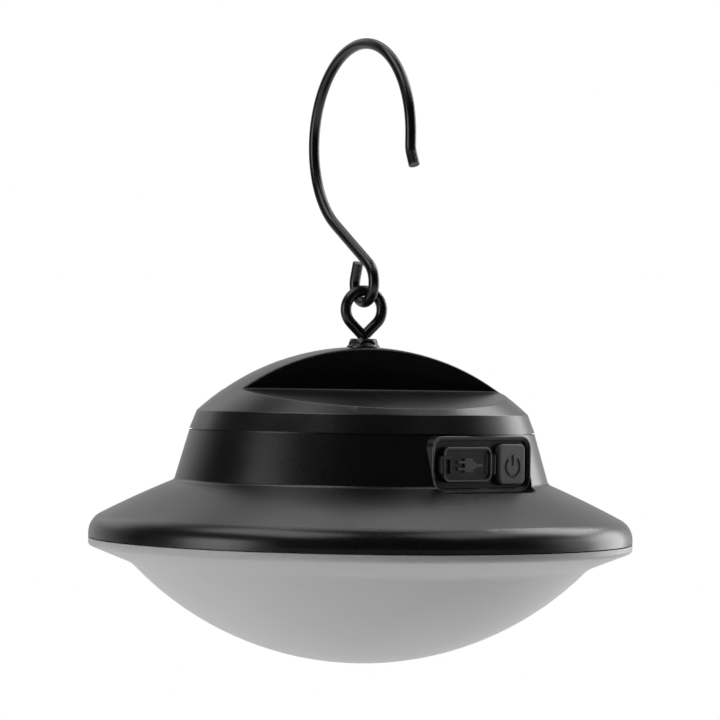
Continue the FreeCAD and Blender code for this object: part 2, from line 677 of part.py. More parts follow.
def make_cap():
    """The domed cap: a turned form with two flats, hollowed by a turned form with the same flats."""
    outer = new_body("cap_outer")
    profile = new_sketch(outer, "cap_profile", "XZ_Plane")
    dome_start = (d.shoulder_radius - d.shoulder_round / 4, d.shoulder_height + d.shoulder_round / 3)
    outline(profile, [
        (0, d.dome_height), (0, cap_base), (d.cup_top_radius, cap_base),
        (d.shoulder_radius, d.shoulder_height), dome_start,
    ], {3: Arc(d.shoulder_round, 1), 4: AxisArc()}, smooth=(3, 4), loose=(4,))
    revolve(outer, "cap_turned", profile)
    cut_notches(outer, "notch", Size(0))
    fillet(outer, "notch_fillet", d.notch_round, lambda edge: all(
        near(vertex.Z, d.notch_foot.value) and near(abs(vertex.Y), d.notch_offset.value)
        for vertex in edge.Vertexes))
    seat = new_sketch(outer, "seat_outline", "XY_Plane", d.dome_height + CLEAR)
    circle(seat, 0, 0, d.seat_radius)
    pocket(outer, "seat", seat, d.seat_depth + CLEAR)
    bore = new_sketch(outer, "shank_bore_outline", "XY_Plane", d.dome_height + CLEAR)
    circle(bore, 0, 0, d.shank_diameter / 2 + d.shank_room)
    pocket(outer, "shank_bore", bore)
    pilot = new_sketch(outer, "cap_pilot_outline", "XY_Plane", cap_base)
    circle(pilot, *LUG_START, d.cap_screw / 2 + d.screw_fit)
    hole = pocket(outer, "cap_pilot", pilot, d.cap_screw_grip, Reversed=True)
    circle_copies(outer, "cap_pilots", [hole], LUG_COUNT)

    void = new_body("cap_void")
    space = new_sketch(void, "cap_void_profile", "XZ_Plane")
    skirt = register_radius + d.register_fit
    outline(space, [
        (0, d.dome_height - d.wall), (0, cap_base - CLEAR), (skirt, cap_base - CLEAR),
        (skirt, register_top + d.register_fit),
        (d.shoulder_radius - d.wall * INSIDE_CORNER, d.shoulder_height - d.wall * INSIDE_CORNER),
    ], {4: AxisArc()})
    revolve(void, "cap_void_turned", space)
    cut_notches(void, "void_notch", d.wall)
    roof = new_sketch(void, "roof_pad_outline", "XY_Plane", seat_level - d.roof_pad)
    circle(roof, 0, 0, d.roof_pad_radius)
    pocket(void, "roof_pad_cut", roof, Reversed=True)
    post = new_sketch(void, "cap_post_outline", "XY_Plane", cap_base)
    circle(post, *LUG_START, d.cap_post)
    posts = pocket(void, "cap_post", post, Reversed=True)
    circle_copies(void, "cap_posts", [posts], LUG_COUNT)

    cap = doc.addObject("Part::Cut", "cap_shell")
    cap.Base = outer
    cap.Tool = void
    doc.recompute()
    place(cap, "top_cap", rim_level)


pod_left = -d.pod_width / 2
pod_right = d.pod_width / 2
pod_low = d.pod_level - d.pod_height / 2
pod_high = d.pod_level + d.pod_height / 2
floor_face = d.pod_face - d.pod_recess
floor_back = floor_face - d.pod_floor
board_face = floor_back - d.socket_gap - d.socket_length
port_middle = (d.flap_right - d.flap_left) / 2
button_middle = d.button_left + d.button_width / 2
plate_top = d.plate_level + d.plate_thickness
BOARD_POSTS = (-d.board_post_left, d.board_post_right)


def pod_sketch(body, name, distance):
    """A sketch parallel to the pod's face, at a distance from the lantern's axis; its normal points out."""
    return new_sketch(body, name, "XZ_Plane", distance)


def make_housing():
    """The cup, flange and rim as one turned shell, with the control pod, screw lugs and bosses."""
    body = new_body("housing_body")
    inner_top = d.cup_top_radius - d.wall
    inner_waist = d.waist_radius - d.wall * INSIDE_CORNER
    inner_waist_level = d.waist_height - d.wall
    lip_level = d.cup_height - d.lip_drop
    lip_radius = inner_top + (inner_waist - inner_top) * d.lip_drop / (d.cup_height - inner_waist_level)
    land_radius = d.rim_radius - d.rim_wall
    edge_middle = d.rim_radius - d.rim_round
    profile = new_sketch(body, "housing_profile", "XZ_Plane")
    outline(profile, [
        (d.rim_radius, 0), (d.rim_radius, d.rim_land),
        (edge_middle + d.rim_round * cosine(RIM_GUESS), d.rim_land + d.rim_round * sine(RIM_GUESS)),
        (d.waist_radius + d.waist_round * cosine(45), d.waist_height - d.waist_round * sine(45)),
        (d.waist_radius, d.waist_height), (d.cup_top_radius, d.cup_height), (register_radius, d.cup_height),
        (register_radius, register_top), (register_inner, register_top),
        (register_inner, d.cup_height - d.wall), (lip_radius, lip_level),
        (inner_waist, inner_waist_level), (land_radius, d.land_height), (land_radius, 0),
    ], {1: Arc(d.rim_round, 1), 2: Arc(d.flange_crown, 1), 3: Arc(d.waist_round, -1),
        11: Arc(d.flange_crown - d.wall, -1)}, smooth=(1, 2, 3, 4), loose=(2, 3))
    revolve(body, "housing_turned", profile)
    make_pod(body)

    lug = new_sketch(body, "lug_outline", "XY_Plane", cap_base)
    circle(lug, 0, lug_radius, d.cap_post + d.lug_margin)
    lug_pad = pad(body, "lug", lug, d.lug_thickness, Reversed=True)
    lug_hole = new_sketch(body, "lug_hole_outline", "XY_Plane", cap_base)
    circle(lug_hole, 0, lug_radius, d.cap_screw / 2 + d.screw_room)
    lug_cut = pocket(body, "lug_hole", lug_hole, d.lug_thickness)
    circle_copies(body, "lugs", [lug_pad, lug_cut], LUG_COUNT)

    boss_spot = d.plate_screw_radius / root(Size(2))
    boss = new_sketch(body, "boss_outline", "XY_Plane", plate_top)
    circle(boss, boss_spot, boss_spot, d.plate_boss)
    boss_pad = feature(body, "Pad", "boss", boss, Type="UpToFirst")
    pilot = new_sketch(body, "boss_pilot_outline", "XY_Plane", plate_top)
    circle(pilot, boss_spot, boss_spot, d.plate_screw / 2 + d.screw_fit)
    boss_cut = pocket(body, "boss_pilot", pilot, d.plate_screw_grip + d.screw_room, Reversed=True)
    circle_copies(body, "bosses", [boss_pad, boss_cut], PLATE_SCREW_COUNT)
    place(body, "housing", rim_level, d.pod_turn)


def make_pod(body):
    """The control pod: a flat-faced sleeve through the cup's wall, with a floor that carries the controls.

    A sill closes the gap between the pod's lower edge and the wall, where the wall leans out in front.
    """
    block = pod_sketch(body, "pod_outline", d.pod_face)
    round_box(block, pod_left, pod_right, pod_low, pod_high, d.pod_corner)
    pad(body, "pod", block, d.pod_depth, Reversed=True)
    sill = new_sketch(body, "sill_outline", "YZ_Plane")
    sill_front = d.waist_radius - d.wall / 2
    sill_low = pod_low - d.pod_sleeve
    corner_top = pod_low + d.pod_corner
    sill_back = d.pod_face - d.pod_depth
    outline(sill, [
        (-sill_back, sill_low), (-sill_back, corner_top), (-d.pod_face, corner_top),
        (-d.pod_face, pod_low), (-sill_front, pod_low), (-sill_front, sill_low),
    ])
    pad(body, "sill", sill, d.pod_width, SideType="Symmetric")
    front = pod_sketch(body, "pod_front_outline", d.pod_face)
    round_box(front, pod_left, pod_right, pod_low, pod_high, d.pod_corner)
    pocket(body, "pod_front", front, d.rim_radius - d.pod_face, Reversed=True)
    recess = pod_sketch(body, "recess_outline", d.pod_face)
    round_box(recess, pod_left + d.pod_rim, pod_right - d.pod_rim, pod_low + d.pod_rim, pod_high - d.pod_rim,
              d.pod_corner - d.pod_rim)
    pocket(body, "recess", recess, d.pod_recess)
    recess_half = d.pod_width / 2 - d.pod_rim
    fillet(body, "recess_fillet", d.recess_round, lambda edge: (
        near(edge.BoundBox.YMin, -d.pod_face.value) and near(edge.BoundBox.YMax, -d.pod_face.value)
        and edge.BoundBox.XMax < recess_half.value + d.pod_rim.value / 2
        and edge.BoundBox.XMin > -recess_half.value - d.pod_rim.value / 2
        and edge.BoundBox.ZMin > pod_low.value + d.pod_rim.value / 2
        and edge.BoundBox.ZMax < pod_high.value - d.pod_rim.value / 2))
    sleeve = pod_sketch(body, "sleeve_outline", floor_back)
    round_box(sleeve, pod_left + d.pod_sleeve, pod_right - d.pod_sleeve, pod_low + d.pod_sleeve,
              pod_high - d.pod_sleeve, d.pod_corner - d.pod_sleeve)
    pocket(body, "sleeve", sleeve, d.pod_depth)
    port = pod_sketch(body, "port_outline", floor_face)
    round_box(port, port_middle - d.port_width / 2, port_middle + d.port_width / 2,
              d.pod_level - d.port_height / 2, d.pod_level + d.port_height / 2, d.port_height * PILL)
    pocket(body, "port", port, d.pod_floor)
    hole = pod_sketch(body, "button_hole_outline", floor_face)
    half = d.button_height / 2 + d.button_room
    round_box(hole, d.button_left - d.button_room, d.button_left + d.button_width + d.button_room,
              d.pod_level - half, d.pod_level + half, d.button_corner + d.button_room)
    pocket(body, "button_hole", hole, d.pod_floor)
    stub = pod_sketch(body, "anchor_hole_outline", floor_face)
    circle(stub, d.hinge_place + d.anchor_width / 2, d.pod_level, d.anchor_stub + d.screw_fit)
    pocket(body, "anchor_hole", stub, d.pod_floor)
    posts = pod_sketch(body, "board_posts_outline", board_face)
    for spot in BOARD_POSTS:
        circle(posts, spot, d.pod_level, d.board_post_radius)
        circle(posts, spot, d.pod_level, d.board_screw / 2 + d.screw_fit)
    pad(body, "board_posts", posts, floor_back - board_face)


def make_flap():
    """The rubber flap with its plug, pull tab and strap, and the anchor that holds the strap's bead."""
    body = new_body("flap_body")
    back = floor_face + d.flap_gap
    front = back + d.flap_thickness
    half = d.flap_height / 2
    plate = pod_sketch(body, "flap_outline", back)
    round_box(plate, -d.flap_left, d.flap_right, d.pod_level - half, d.pod_level + half, d.flap_corner)
    pad(body, "flap_plate", plate, d.flap_thickness)
    fillet(body, "flap_fillet", d.flap_round, lambda edge: all(
        near(vertex.Y, -front.value) for vertex in edge.Vertexes))
    dish = pod_sketch(body, "dish_outline", front)
    inner_half = half - d.flap_rim
    round_box(dish, d.flap_rim - d.flap_left, d.flap_right - d.flap_rim, d.pod_level - inner_half,
              d.pod_level + inner_half, d.flap_corner - d.flap_rim)
    pocket(body, "dish", dish, d.flap_dish)
    plug = pod_sketch(body, "plug_outline", back)
    round_box(plug, port_middle - d.plug_width / 2, port_middle + d.plug_width / 2,
              d.pod_level - d.plug_height / 2, d.pod_level + d.plug_height / 2, d.plug_height * PILL)
    pad(body, "plug", plug, d.plug_depth, Reversed=True)
    tab_right = d.tab_width - d.tab_left
    tab_half = d.tab_height / 2
    tab = pod_sketch(body, "tab_outline", front - d.flap_thickness / 2)
    round_box(tab, -d.tab_left, tab_right, d.pod_level - tab_half, d.pod_level + tab_half, d.flap_round * 2)
    pad(body, "tab", tab, d.tab_rise + d.flap_thickness / 2)
    groove = pod_sketch(body, "tab_groove_outline", front + d.tab_rise)
    box_outline(groove, d.tab_lip - d.tab_left, tab_right - d.tab_lip,
                d.pod_level - tab_half - CLEAR, d.pod_level + tab_half - d.tab_lip)
    pocket(body, "tab_groove", groove, d.tab_rise)
    strap = new_sketch(body, "strap_outline", "XY_Plane", d.pod_level - d.strap_height / 2)
    axis_depth = floor_face + d.hinge_rise
    box_outline(strap, d.flap_right - d.flap_corner, d.hinge_place,
                -(axis_depth + d.strap_thickness / 2), -(axis_depth - d.strap_thickness / 2))
    pad(body, "strap", strap, d.strap_height)
    bead = new_sketch(body, "bead_outline", "XY_Plane", d.pod_level - d.strap_height / 2)
    circle(bead, d.hinge_place, -axis_depth, d.knuckle_radius)
    pad(body, "bead", bead, d.strap_height)
    place(body, "port_flap", rim_level, d.pod_turn)

    anchor = new_body("anchor_body")
    block = new_sketch(anchor, "anchor_outline", "XY_Plane", d.pod_level - d.strap_height / 2)
    box_outline(block, d.hinge_place - d.knuckle_radius, d.hinge_place + d.anchor_width,
                -axis_depth, -floor_face)
    pad(anchor, "anchor_block", block, d.strap_height)
    saddle = new_sketch(anchor, "saddle_outline", "XY_Plane", d.pod_level)
    circle(saddle, d.hinge_place, -axis_depth, d.knuckle_radius + d.knuckle_room)
    pocket(anchor, "saddle", saddle, SideType="Symmetric")
    stub = pod_sketch(anchor, "stub_outline", floor_face)
    circle(stub, d.hinge_place + d.anchor_width / 2, d.pod_level, d.anchor_stub)
    pad(anchor, "stub", stub, d.pod_floor, Reversed=True)
    place(anchor, "flap_anchor", rim_level, d.pod_turn)


def make_button():
    """The power button with its retaining lip and post, and the switch behind it."""
    body = new_body("button_body")
    half = d.button_height / 2
    right = d.button_left + d.button_width
    face = floor_face + d.button_rise
    lip_face = floor_back - d.button_slack
    lip_back = lip_face - d.button_lip_depth
    post_back = lip_back - d.button_post_depth
    key = pod_sketch(body, "button_outline", lip_back)
    round_box(key, d.button_left, right, d.pod_level - half, d.pod_level + half, d.button_corner)
    pad(body, "button_key", key, face - lip_back)
    fillet(body, "button_fillet", d.button_round, lambda edge: all(
        near(vertex.Y, -face.value) for vertex in edge.Vertexes))
    lip = pod_sketch(body, "button_lip_outline", lip_back)
    round_box(lip, d.button_left - d.button_room - d.button_lip, right + d.button_lip,
              d.pod_level - half - d.button_lip, d.pod_level + half + d.button_lip,
              d.pod_corner - d.pod_sleeve)
    pad(body, "button_lip_pad", lip, d.button_lip_depth)
    post = pod_sketch(body, "button_post_outline", post_back)
    circle(post, button_middle, d.pod_level, d.button_post)
    pad(body, "button_post_pad", post, d.button_post_depth)
    place(body, "power_button", rim_level, d.pod_turn)

    switch_face = board_face + d.switch_height
    plunger = new_body("plunger_body")
    rod = pod_sketch(plunger, "plunger_outline", post_back)
    circle(rod, button_middle, d.pod_level, d.plunger_radius)
    pad(plunger, "plunger_pad", rod, post_back - switch_face + d.plunger_sunk, Reversed=True)
    place(plunger, "switch_plunger", rim_level, d.pod_turn)
    switch = new_body("switch_body")
    case = pod_sketch(switch, "switch_outline", board_face)
    half_case = d.switch_size / 2
    box_outline(case, button_middle - half_case, button_middle + half_case,
                d.pod_level - half_case, d.pod_level + half_case)
    pad(switch, "switch_case", case, d.switch_height)
    bore = pod_sketch(switch, "switch_bore_outline", switch_face)
    circle(bore, button_middle, d.pod_level, d.plunger_radius + d.plunger_room)
    pocket(switch, "switch_bore_cut", bore, d.switch_bore)
    place(switch, "tact_switch", rim_level, d.pod_turn)


def make_board():
    """The charging board, its socket and its screws."""
    socket = new_body("socket_body")
    half_width = d.socket_width / 2
    half_height = d.socket_height / 2
    shell = pod_sketch(socket, "socket_outline", board_face)
    round_box(shell, port_middle - half_width, port_middle + half_width, d.pod_level - half_height,
              d.pod_level + half_height, d.socket_height * SHELL_CORNER)
    pad(socket, "socket_shell", shell, d.socket_length)
    space = pod_sketch(socket, "socket_space_outline", board_face + d.socket_length)
    inset = d.socket_wall
    round_box(space, port_middle - half_width + inset, port_middle + half_width - inset,
              d.pod_level - half_height + inset, d.pod_level + half_height - inset,
              d.socket_height * SHELL_CORNER - inset)
    pocket(socket, "socket_space", space, d.socket_length - d.socket_base)
    place(socket, "usb_socket", rim_level, d.pod_turn)
    tongue = new_body("tongue_body")
    blade = pod_sketch(tongue, "tongue_outline", board_face + d.socket_base)
    box_outline(blade, port_middle - d.tongue_width / 2, port_middle + d.tongue_width / 2,
                d.pod_level - d.tongue_thickness / 2, d.pod_level + d.tongue_thickness / 2)
    pad(tongue, "tongue_blade", blade, d.tongue_length)
    place(tongue, "usb_tongue", rim_level, d.pod_turn)
    board = new_body("board_body")
    sheet_outline = pod_sketch(board, "board_outline", board_face)
    box_outline(sheet_outline, -d.board_width / 2, d.board_width / 2,
                d.pod_level - d.board_height / 2, d.pod_level + d.board_height / 2)
    for spot in BOARD_POSTS:
        circle(sheet_outline, spot, d.pod_level, d.board_screw / 2 + d.screw_room)
    pad(board, "board_sheet", sheet_outline, d.board_thickness, Reversed=True)
    place(board, "charge_board", rim_level, d.pod_turn)
    screws = new_body("board_screws_body")
    board_back = board_face - d.board_thickness
    heads = pod_sketch(screws, "board_heads_outline", board_back)
    shanks = pod_sketch(screws, "board_shanks_outline", board_back)
    for spot in BOARD_POSTS:
        circle(heads, spot, d.pod_level, d.board_screw * HEAD_RATIO / 2)
        circle(shanks, spot, d.pod_level, d.board_screw / 2)
    pad(screws, "board_heads", heads, d.head_height, Reversed=True)
    pad(screws, "board_shanks", shanks, d.board_screw_length)
    place(screws, "board_screws", rim_level, d.pod_turn)


def ring_screws(label, spot, count, screw, head_level, length, upward, turn):
    """Equal screws on a circle about the axis, the first at spot, with their heads at head_level."""
    body = new_body(f"{label}_body")
    head = new_sketch(body, f"{label}_head_outline", "XY_Plane", head_level)
    circle(head, *spot, screw * HEAD_RATIO / 2)
    head_pad = pad(body, f"{label}_head", head, d.head_height, Reversed=upward)
    shank = new_sketch(body, f"{label}_shank_outline", "XY_Plane", head_level)
    circle(shank, *spot, screw / 2)
    shank_pad = pad(body, f"{label}_shank", shank, length, Reversed=not upward)
    circle_copies(body, f"{label}_copies", [head_pad, shank_pad], count)
    place(body, label, rim_level, turn)


def make_fasteners():
    ring_screws("cap_screws", (0, lug_radius), LUG_COUNT, d.cap_screw, cap_base - d.lug_thickness,
                d.lug_thickness + d.cap_screw_grip - d.screw_room, True, d.pod_turn)
    spot = d.plate_screw_radius / root(Size(2))
    ring_screws("led_plate_screws", (spot, spot), PLATE_SCREW_COUNT, d.plate_screw, d.plate_level,
                d.plate_thickness + d.plate_screw_grip, True, d.pod_turn)


def make_seals():
    skirt = register_radius + d.register_fit
    turned("cap_gasket", [
        (skirt, d.cup_height), (skirt + d.gasket_width, d.cup_height), (skirt + d.gasket_width, cap_base),
        (skirt, cap_base),
    ], rim_level, d.pod_turn)
    land = d.rim_radius - d.rim_wall
    groove = land - d.spigot_fit - d.seal_depth
    top = d.seal_level + d.seal_height
    turned("diffuser_seal", [
        (groove, d.seal_level), (land, d.seal_level), (land, top), (groove, top),
    ], rim_level, d.pod_turn)


def make_diffuser():
    """The milky dome: an upright edge, a shallow slope, a bowl and a spigot with a groove for the seal."""
    body = new_body("diffuser_body")
    spigot_outer = d.rim_radius - d.rim_wall - d.spigot_fit
    spigot_inner = spigot_outer - d.spigot_wall
    groove = spigot_outer - d.seal_depth
    seal_top = d.seal_level + d.seal_height
    inward, upward = DIFFUSER_CORNER
    edge_inner = (d.dome_edge_radius - d.diffuser_wall * inward, d.diffuser_wall * upward - d.dome_edge_drop)
    profile = new_sketch(body, "diffuser_profile", "XZ_Plane")
    outline(profile, [
        (d.rim_radius, -d.rim_gap), (spigot_outer, -d.rim_gap), (spigot_outer, d.seal_level),
        (groove, d.seal_level), (groove, seal_top), (spigot_outer, seal_top), (spigot_outer, d.spigot_height),
        (spigot_inner, d.spigot_height), (spigot_inner, -d.lip_height), edge_inner,
        (0, d.diffuser_wall - d.diffuser_depth), (0, -d.diffuser_depth),
        (d.dome_edge_radius, -d.dome_edge_drop), (d.rim_radius, -d.lip_height),
    ], {9: AxisArc(), 11: AxisArc()})
    revolve(body, "diffuser_turned", profile)
    fillet(body, "diffuser_fillet", d.dome_edge_round, ring_edge(d.dome_edge_radius, -d.dome_edge_drop))
    fillet(body, "diffuser_lip_fillet", d.lip_round, ring_edge(d.rim_radius, -d.lip_height))
    place(body, "diffuser", rim_level, d.pod_turn)


band_half = d.cell_diameter + d.band_room
foot_middle = band_half + d.band_thickness + (d.ear_length - d.band_thickness) / 2
BAND_SPOTS = (d.cell_place - foot_middle, d.cell_place + foot_middle)


def make_light():
    """The reflector plate, the LED board under it and two circles of LEDs."""
    plate = new_body("plate_body")
    disc = new_sketch(plate, "plate_outline", "XY_Plane", d.plate_level)
    circle(disc, 0, 0, d.plate_radius)
    for spot in BAND_SPOTS:
        circle(disc, 0, spot, d.band_screw / 2 + d.screw_room)
    circle(disc, 0, -(d.cell_place + foot_middle), d.lead_hole)
    pad(plate, "plate_disc", disc, d.plate_thickness)
    hole = new_sketch(plate, "plate_hole_outline", "XY_Plane", d.plate_level)
    spot = d.plate_screw_radius / root(Size(2))
    circle(hole, spot, spot, d.plate_screw / 2 + d.screw_room)
    cut = pocket(plate, "plate_hole", hole, Reversed=True)
    circle_copies(plate, "plate_holes", [cut], PLATE_SCREW_COUNT)
    place(plate, "led_plate", rim_level, d.pod_turn)
    board_level = d.plate_level - d.led_board_thickness
    board = new_body("led_board_body")
    board_disc = new_sketch(board, "led_board_outline", "XY_Plane", board_level)
    circle(board_disc, 0, 0, d.led_board_radius)
    circle(board_disc, 0, -(d.cell_place + foot_middle), d.lead_hole)
    pad(board, "led_board_disc", board_disc, d.led_board_thickness)
    place(board, "led_board", rim_level, d.pod_turn)
    leds = new_body("leds_body")
    for name, radius, count in (("outer", d.led_outer_radius, LED_COUNT_OUTER),
                                ("inner", d.led_inner_radius, LED_COUNT_INNER)):
        chip = new_sketch(leds, f"{name}_led_outline", "XY_Plane", board_level)
        box_outline(chip, radius - d.led_length / 2, radius + d.led_length / 2,
                    -d.led_width / 2, d.led_width / 2)
        chip_pad = pad(leds, f"{name}_led", chip, d.led_height, Reversed=True)
        circle_copies(leds, f"{name}_leds", [chip_pad], count)
    place(leds, "leds", rim_level, d.pod_turn)


def make_battery():
    """Two cells side by side in a cradle on the reflector plate, under a strap."""
    radius = d.cell_diameter / 2
    level = plate_top + d.cell_bed + radius
    middles = (d.cell_place - radius, d.cell_place + radius)
    cells = new_body("cells_body")
    rounds = new_sketch(cells, "cells_outline", "YZ_Plane")
    for middle in middles:
        circle(rounds, middle, level, radius - d.screw_fit)
    pad(cells, "cells_pad", rounds, d.cell_length, SideType="Symmetric")
    place(cells, "battery_cells", rim_level, d.pod_turn)
    links = new_body("links_body")
    strip = new_sketch(links, "links_outline", "YZ_Plane", d.cell_length / 2)
    half_link = d.link_height / 2
    box_outline(strip, middles[0] - half_link, middles[1] + half_link, level - half_link, level + half_link)
    strip_pad = pad(links, "link", strip, d.link_thickness)
    mirror(links, "links", [strip_pad], "YZ_Plane")
    place(links, "cell_links", rim_level, d.pod_turn)

    cradle = new_body("cradle_body")
    half_length = d.cell_length / 2 + d.cell_end_room + d.cradle_wall
    block = new_sketch(cradle, "cradle_outline", "XY_Plane", plate_top)
    box_outline(block, -half_length, half_length,
                d.cell_place - d.cell_diameter, d.cell_place + d.cell_diameter)
    pad(cradle, "cradle_block", block, d.cradle_height)
    ears = new_sketch(cradle, "ears_outline", "XY_Plane", plate_top)
    reach = band_half + d.ear_length
    box_outline(ears, -d.band_width / 2, d.band_width / 2, d.cell_place - reach, d.cell_place + reach)
    pad(cradle, "ears", ears, d.ear_thickness)
    holes = new_sketch(cradle, "ear_holes_outline", "XY_Plane", plate_top)
    for spot in BAND_SPOTS:
        circle(holes, 0, spot, d.band_screw / 2 + d.screw_room)
    pocket(cradle, "ear_holes", holes, Reversed=True)
    for number, middle in enumerate(middles):
        trough = new_sketch(cradle, f"trough_{number}_outline", "YZ_Plane")
        circle(trough, middle, level, radius + d.cell_room)
        pocket(cradle, f"trough_{number}", trough, d.cell_length + 2 * d.cell_end_room, SideType="Symmetric")
    place(cradle, "battery_cradle", rim_level, d.pod_turn)

    band = new_body("band_body")
    foot = plate_top + d.ear_thickness
    foot_top = foot + d.band_thickness
    under = level + radius + d.band_room
    top = under + d.band_thickness
    outer = band_half + d.band_thickness
    section = new_sketch(band, "band_outline", "YZ_Plane")
    middle = d.cell_place
    outline(section, [
        (middle - reach, foot), (middle - band_half, foot), (middle - band_half, under),
        (middle + band_half, under), (middle + band_half, foot), (middle + reach, foot),
        (middle + reach, foot_top), (middle + outer, foot_top), (middle + outer, top),
        (middle - outer, top), (middle - outer, foot_top), (middle - reach, foot_top),
    ])
    pad(band, "band", section, d.band_width, SideType="Symmetric")
    band_holes = new_sketch(band, "band_holes_outline", "XY_Plane", foot_top)
    for spot in BAND_SPOTS:
        circle(band_holes, 0, spot, d.band_screw / 2 + d.screw_room)
    pocket(band, "band_holes", band_holes, d.band_thickness)
    place(band, "battery_strap", rim_level, d.pod_turn)
    screws = new_body("strap_screws_body")
    heads = new_sketch(screws, "strap_heads_outline", "XY_Plane", foot_top)
    shanks = new_sketch(screws, "strap_shanks_outline", "XY_Plane", foot_top)
    for spot in BAND_SPOTS:
        circle(heads, 0, spot, d.band_screw * HEAD_RATIO / 2)
        circle(shanks, 0, spot, d.band_screw / 2)
    pad(screws, "strap_heads", heads, d.head_height)
    pad(screws, "strap_shanks", shanks, foot_top - d.plate_level - d.screw_room, Reversed=True)
    place(screws, "strap_screws", rim_level, d.pod_turn)


make_hook()
make_eye_bolt()
make_eye_fittings()
make_cap()
make_housing()
make_flap()
make_button()
make_board()
make_fasteners()
make_seals()
make_diffuser()
make_light()
make_battery()
doc.recompute()

for item in doc.Objects:
    if "Invalid" in item.State or "Error" in item.State:
        raise RuntimeError(f"{item.Label} failed: {item.State}")
for item in nodes:
    if item.Shape.isNull() or not item.Shape.isValid():
        raise RuntimeError(f"{item.Label} has no valid shape")

os.makedirs("parts", exist_ok=True)
for item in nodes:
    item.Shape.exportStep(f"parts/{item.Label}.step")
    print(item.Label, len(item.Shape.Solids), round(item.Shape.Volume, 2))
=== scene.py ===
# %% [markdown]
# # A hanging camping lantern
# The lantern is a saucer of black moulded plastic over a milky bowl. It hangs by a bent wire hook that is
# linked to a wire eye on its domed cap. A small pod on its side carries a rubber port flap and a power
# button. The solid model is loaded first, as a fixed frame in metres. The rest of the file gives its pieces
# their finishes, adds small shapes that are finer than the solid model, puts finer copies in the place of two
# of its pieces, and builds the studio round it.

# %% Load the solid model
import json
import math

import bpy
from mathutils import Matrix, Vector


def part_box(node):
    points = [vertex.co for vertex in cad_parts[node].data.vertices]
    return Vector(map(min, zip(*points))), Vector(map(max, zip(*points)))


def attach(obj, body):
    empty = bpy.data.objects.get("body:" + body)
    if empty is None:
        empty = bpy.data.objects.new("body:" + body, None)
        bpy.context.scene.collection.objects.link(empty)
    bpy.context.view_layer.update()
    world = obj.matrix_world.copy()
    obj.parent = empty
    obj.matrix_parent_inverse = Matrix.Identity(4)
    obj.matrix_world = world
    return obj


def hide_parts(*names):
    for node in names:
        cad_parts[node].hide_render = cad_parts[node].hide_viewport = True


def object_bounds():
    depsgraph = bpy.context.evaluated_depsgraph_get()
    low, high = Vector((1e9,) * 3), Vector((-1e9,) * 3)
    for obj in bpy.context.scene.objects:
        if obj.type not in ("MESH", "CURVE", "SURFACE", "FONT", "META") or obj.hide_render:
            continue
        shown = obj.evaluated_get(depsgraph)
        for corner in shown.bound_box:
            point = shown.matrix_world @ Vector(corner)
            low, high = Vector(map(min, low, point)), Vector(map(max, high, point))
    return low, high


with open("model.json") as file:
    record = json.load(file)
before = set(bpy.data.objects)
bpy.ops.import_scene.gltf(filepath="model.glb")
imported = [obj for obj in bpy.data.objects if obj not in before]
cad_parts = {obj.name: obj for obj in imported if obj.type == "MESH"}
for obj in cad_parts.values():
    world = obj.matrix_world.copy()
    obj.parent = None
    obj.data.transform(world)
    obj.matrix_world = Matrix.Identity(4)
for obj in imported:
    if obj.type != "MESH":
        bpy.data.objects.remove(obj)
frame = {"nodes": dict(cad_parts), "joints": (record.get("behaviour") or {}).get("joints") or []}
cad_low, cad_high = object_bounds()
MM = 0.001
UP = Vector((0, 0, 1))
print("nodes:", len(frame["nodes"]), "box in mm:", [round(side / MM, 1) for side in cad_high - cad_low])

# %% [markdown]
# ## The camera
# The picture was taken with a long lens from about the height of the cap: the seam under the cap looks
# straight, while the rim below it shows as a flat ellipse. How fast the one turns into the other gives the
# distance, a bit over 80 cm. Setting the camera first means that every later render can be laid over the
# photograph.

# %% Place the camera
VIEW_TURN = math.radians(-19)
VIEW_DISTANCE = 820 * MM
VIEW_HEIGHT = -84.5 * MM
VIEW_PITCH = math.radians(-0.29)
VIEW_ROLL = math.radians(0.9)
VIEW_STEP = -0.8 * MM
FOCAL_LENGTH = 158.85

towards_camera = Vector((math.sin(VIEW_TURN), -math.cos(VIEW_TURN), 0))
right_of_camera = UP.cross(towards_camera)
bpy.ops.object.select_all(action="DESELECT")
bpy.ops.object.camera_add()
camera = bpy.context.object
camera.data.lens = FOCAL_LENGTH
camera.location = towards_camera * VIEW_DISTANCE + right_of_camera * VIEW_STEP + UP * VIEW_HEIGHT
upright = Matrix.Rotation(VIEW_TURN, 3, "Z") @ Matrix.Rotation(math.pi / 2 - VIEW_PITCH, 3, "X")
camera.rotation_euler = (upright @ Matrix.Rotation(VIEW_ROLL, 3, "Z")).to_euler()
bpy.context.scene.camera = camera
bpy.context.scene.view_settings.view_transform = "Standard"
print("camera at", [round(value, 3) for value in camera.location])

# %% [markdown]
# ## Writing shaders as sums
# A finish is a small calculation: so much grain, a little less gloss where the grain is high, a slightly
# lighter tone in places. Dragging links by hand hides that, so a socket is wrapped in a class whose operators
# add the matching Math nodes. `1 - mask * 0.2` then reads as what it is. Every other node comes from one
# method, and the nodes that most finishes share have short names of their own.

# %% Define the tones


class Tone:
    """A value on its way through a node tree; sums and products of tones add Math nodes."""

    def __init__(self, finish, socket):
        self.finish = finish
        self.socket = socket

    def with_math(self, operation, first, second):
        return self.finish.node("ShaderNodeMath", {0: first, 1: second}, operation=operation)

    def __add__(self, other):
        return self.with_math("ADD", self, other)

    def __radd__(self, other):
        return self.with_math("ADD", other, self)

    def __sub__(self, other):
        return self.with_math("SUBTRACT", self, other)

    def __rsub__(self, other):
        return self.with_math("SUBTRACT", other, self)

    def __mul__(self, other):
        return self.with_math("MULTIPLY", self, other)

    def __rmul__(self, other):
        return self.with_math("MULTIPLY", other, self)

    def larger(self, other):
        return self.with_math("MAXIMUM", self, other)


print("tones ready")

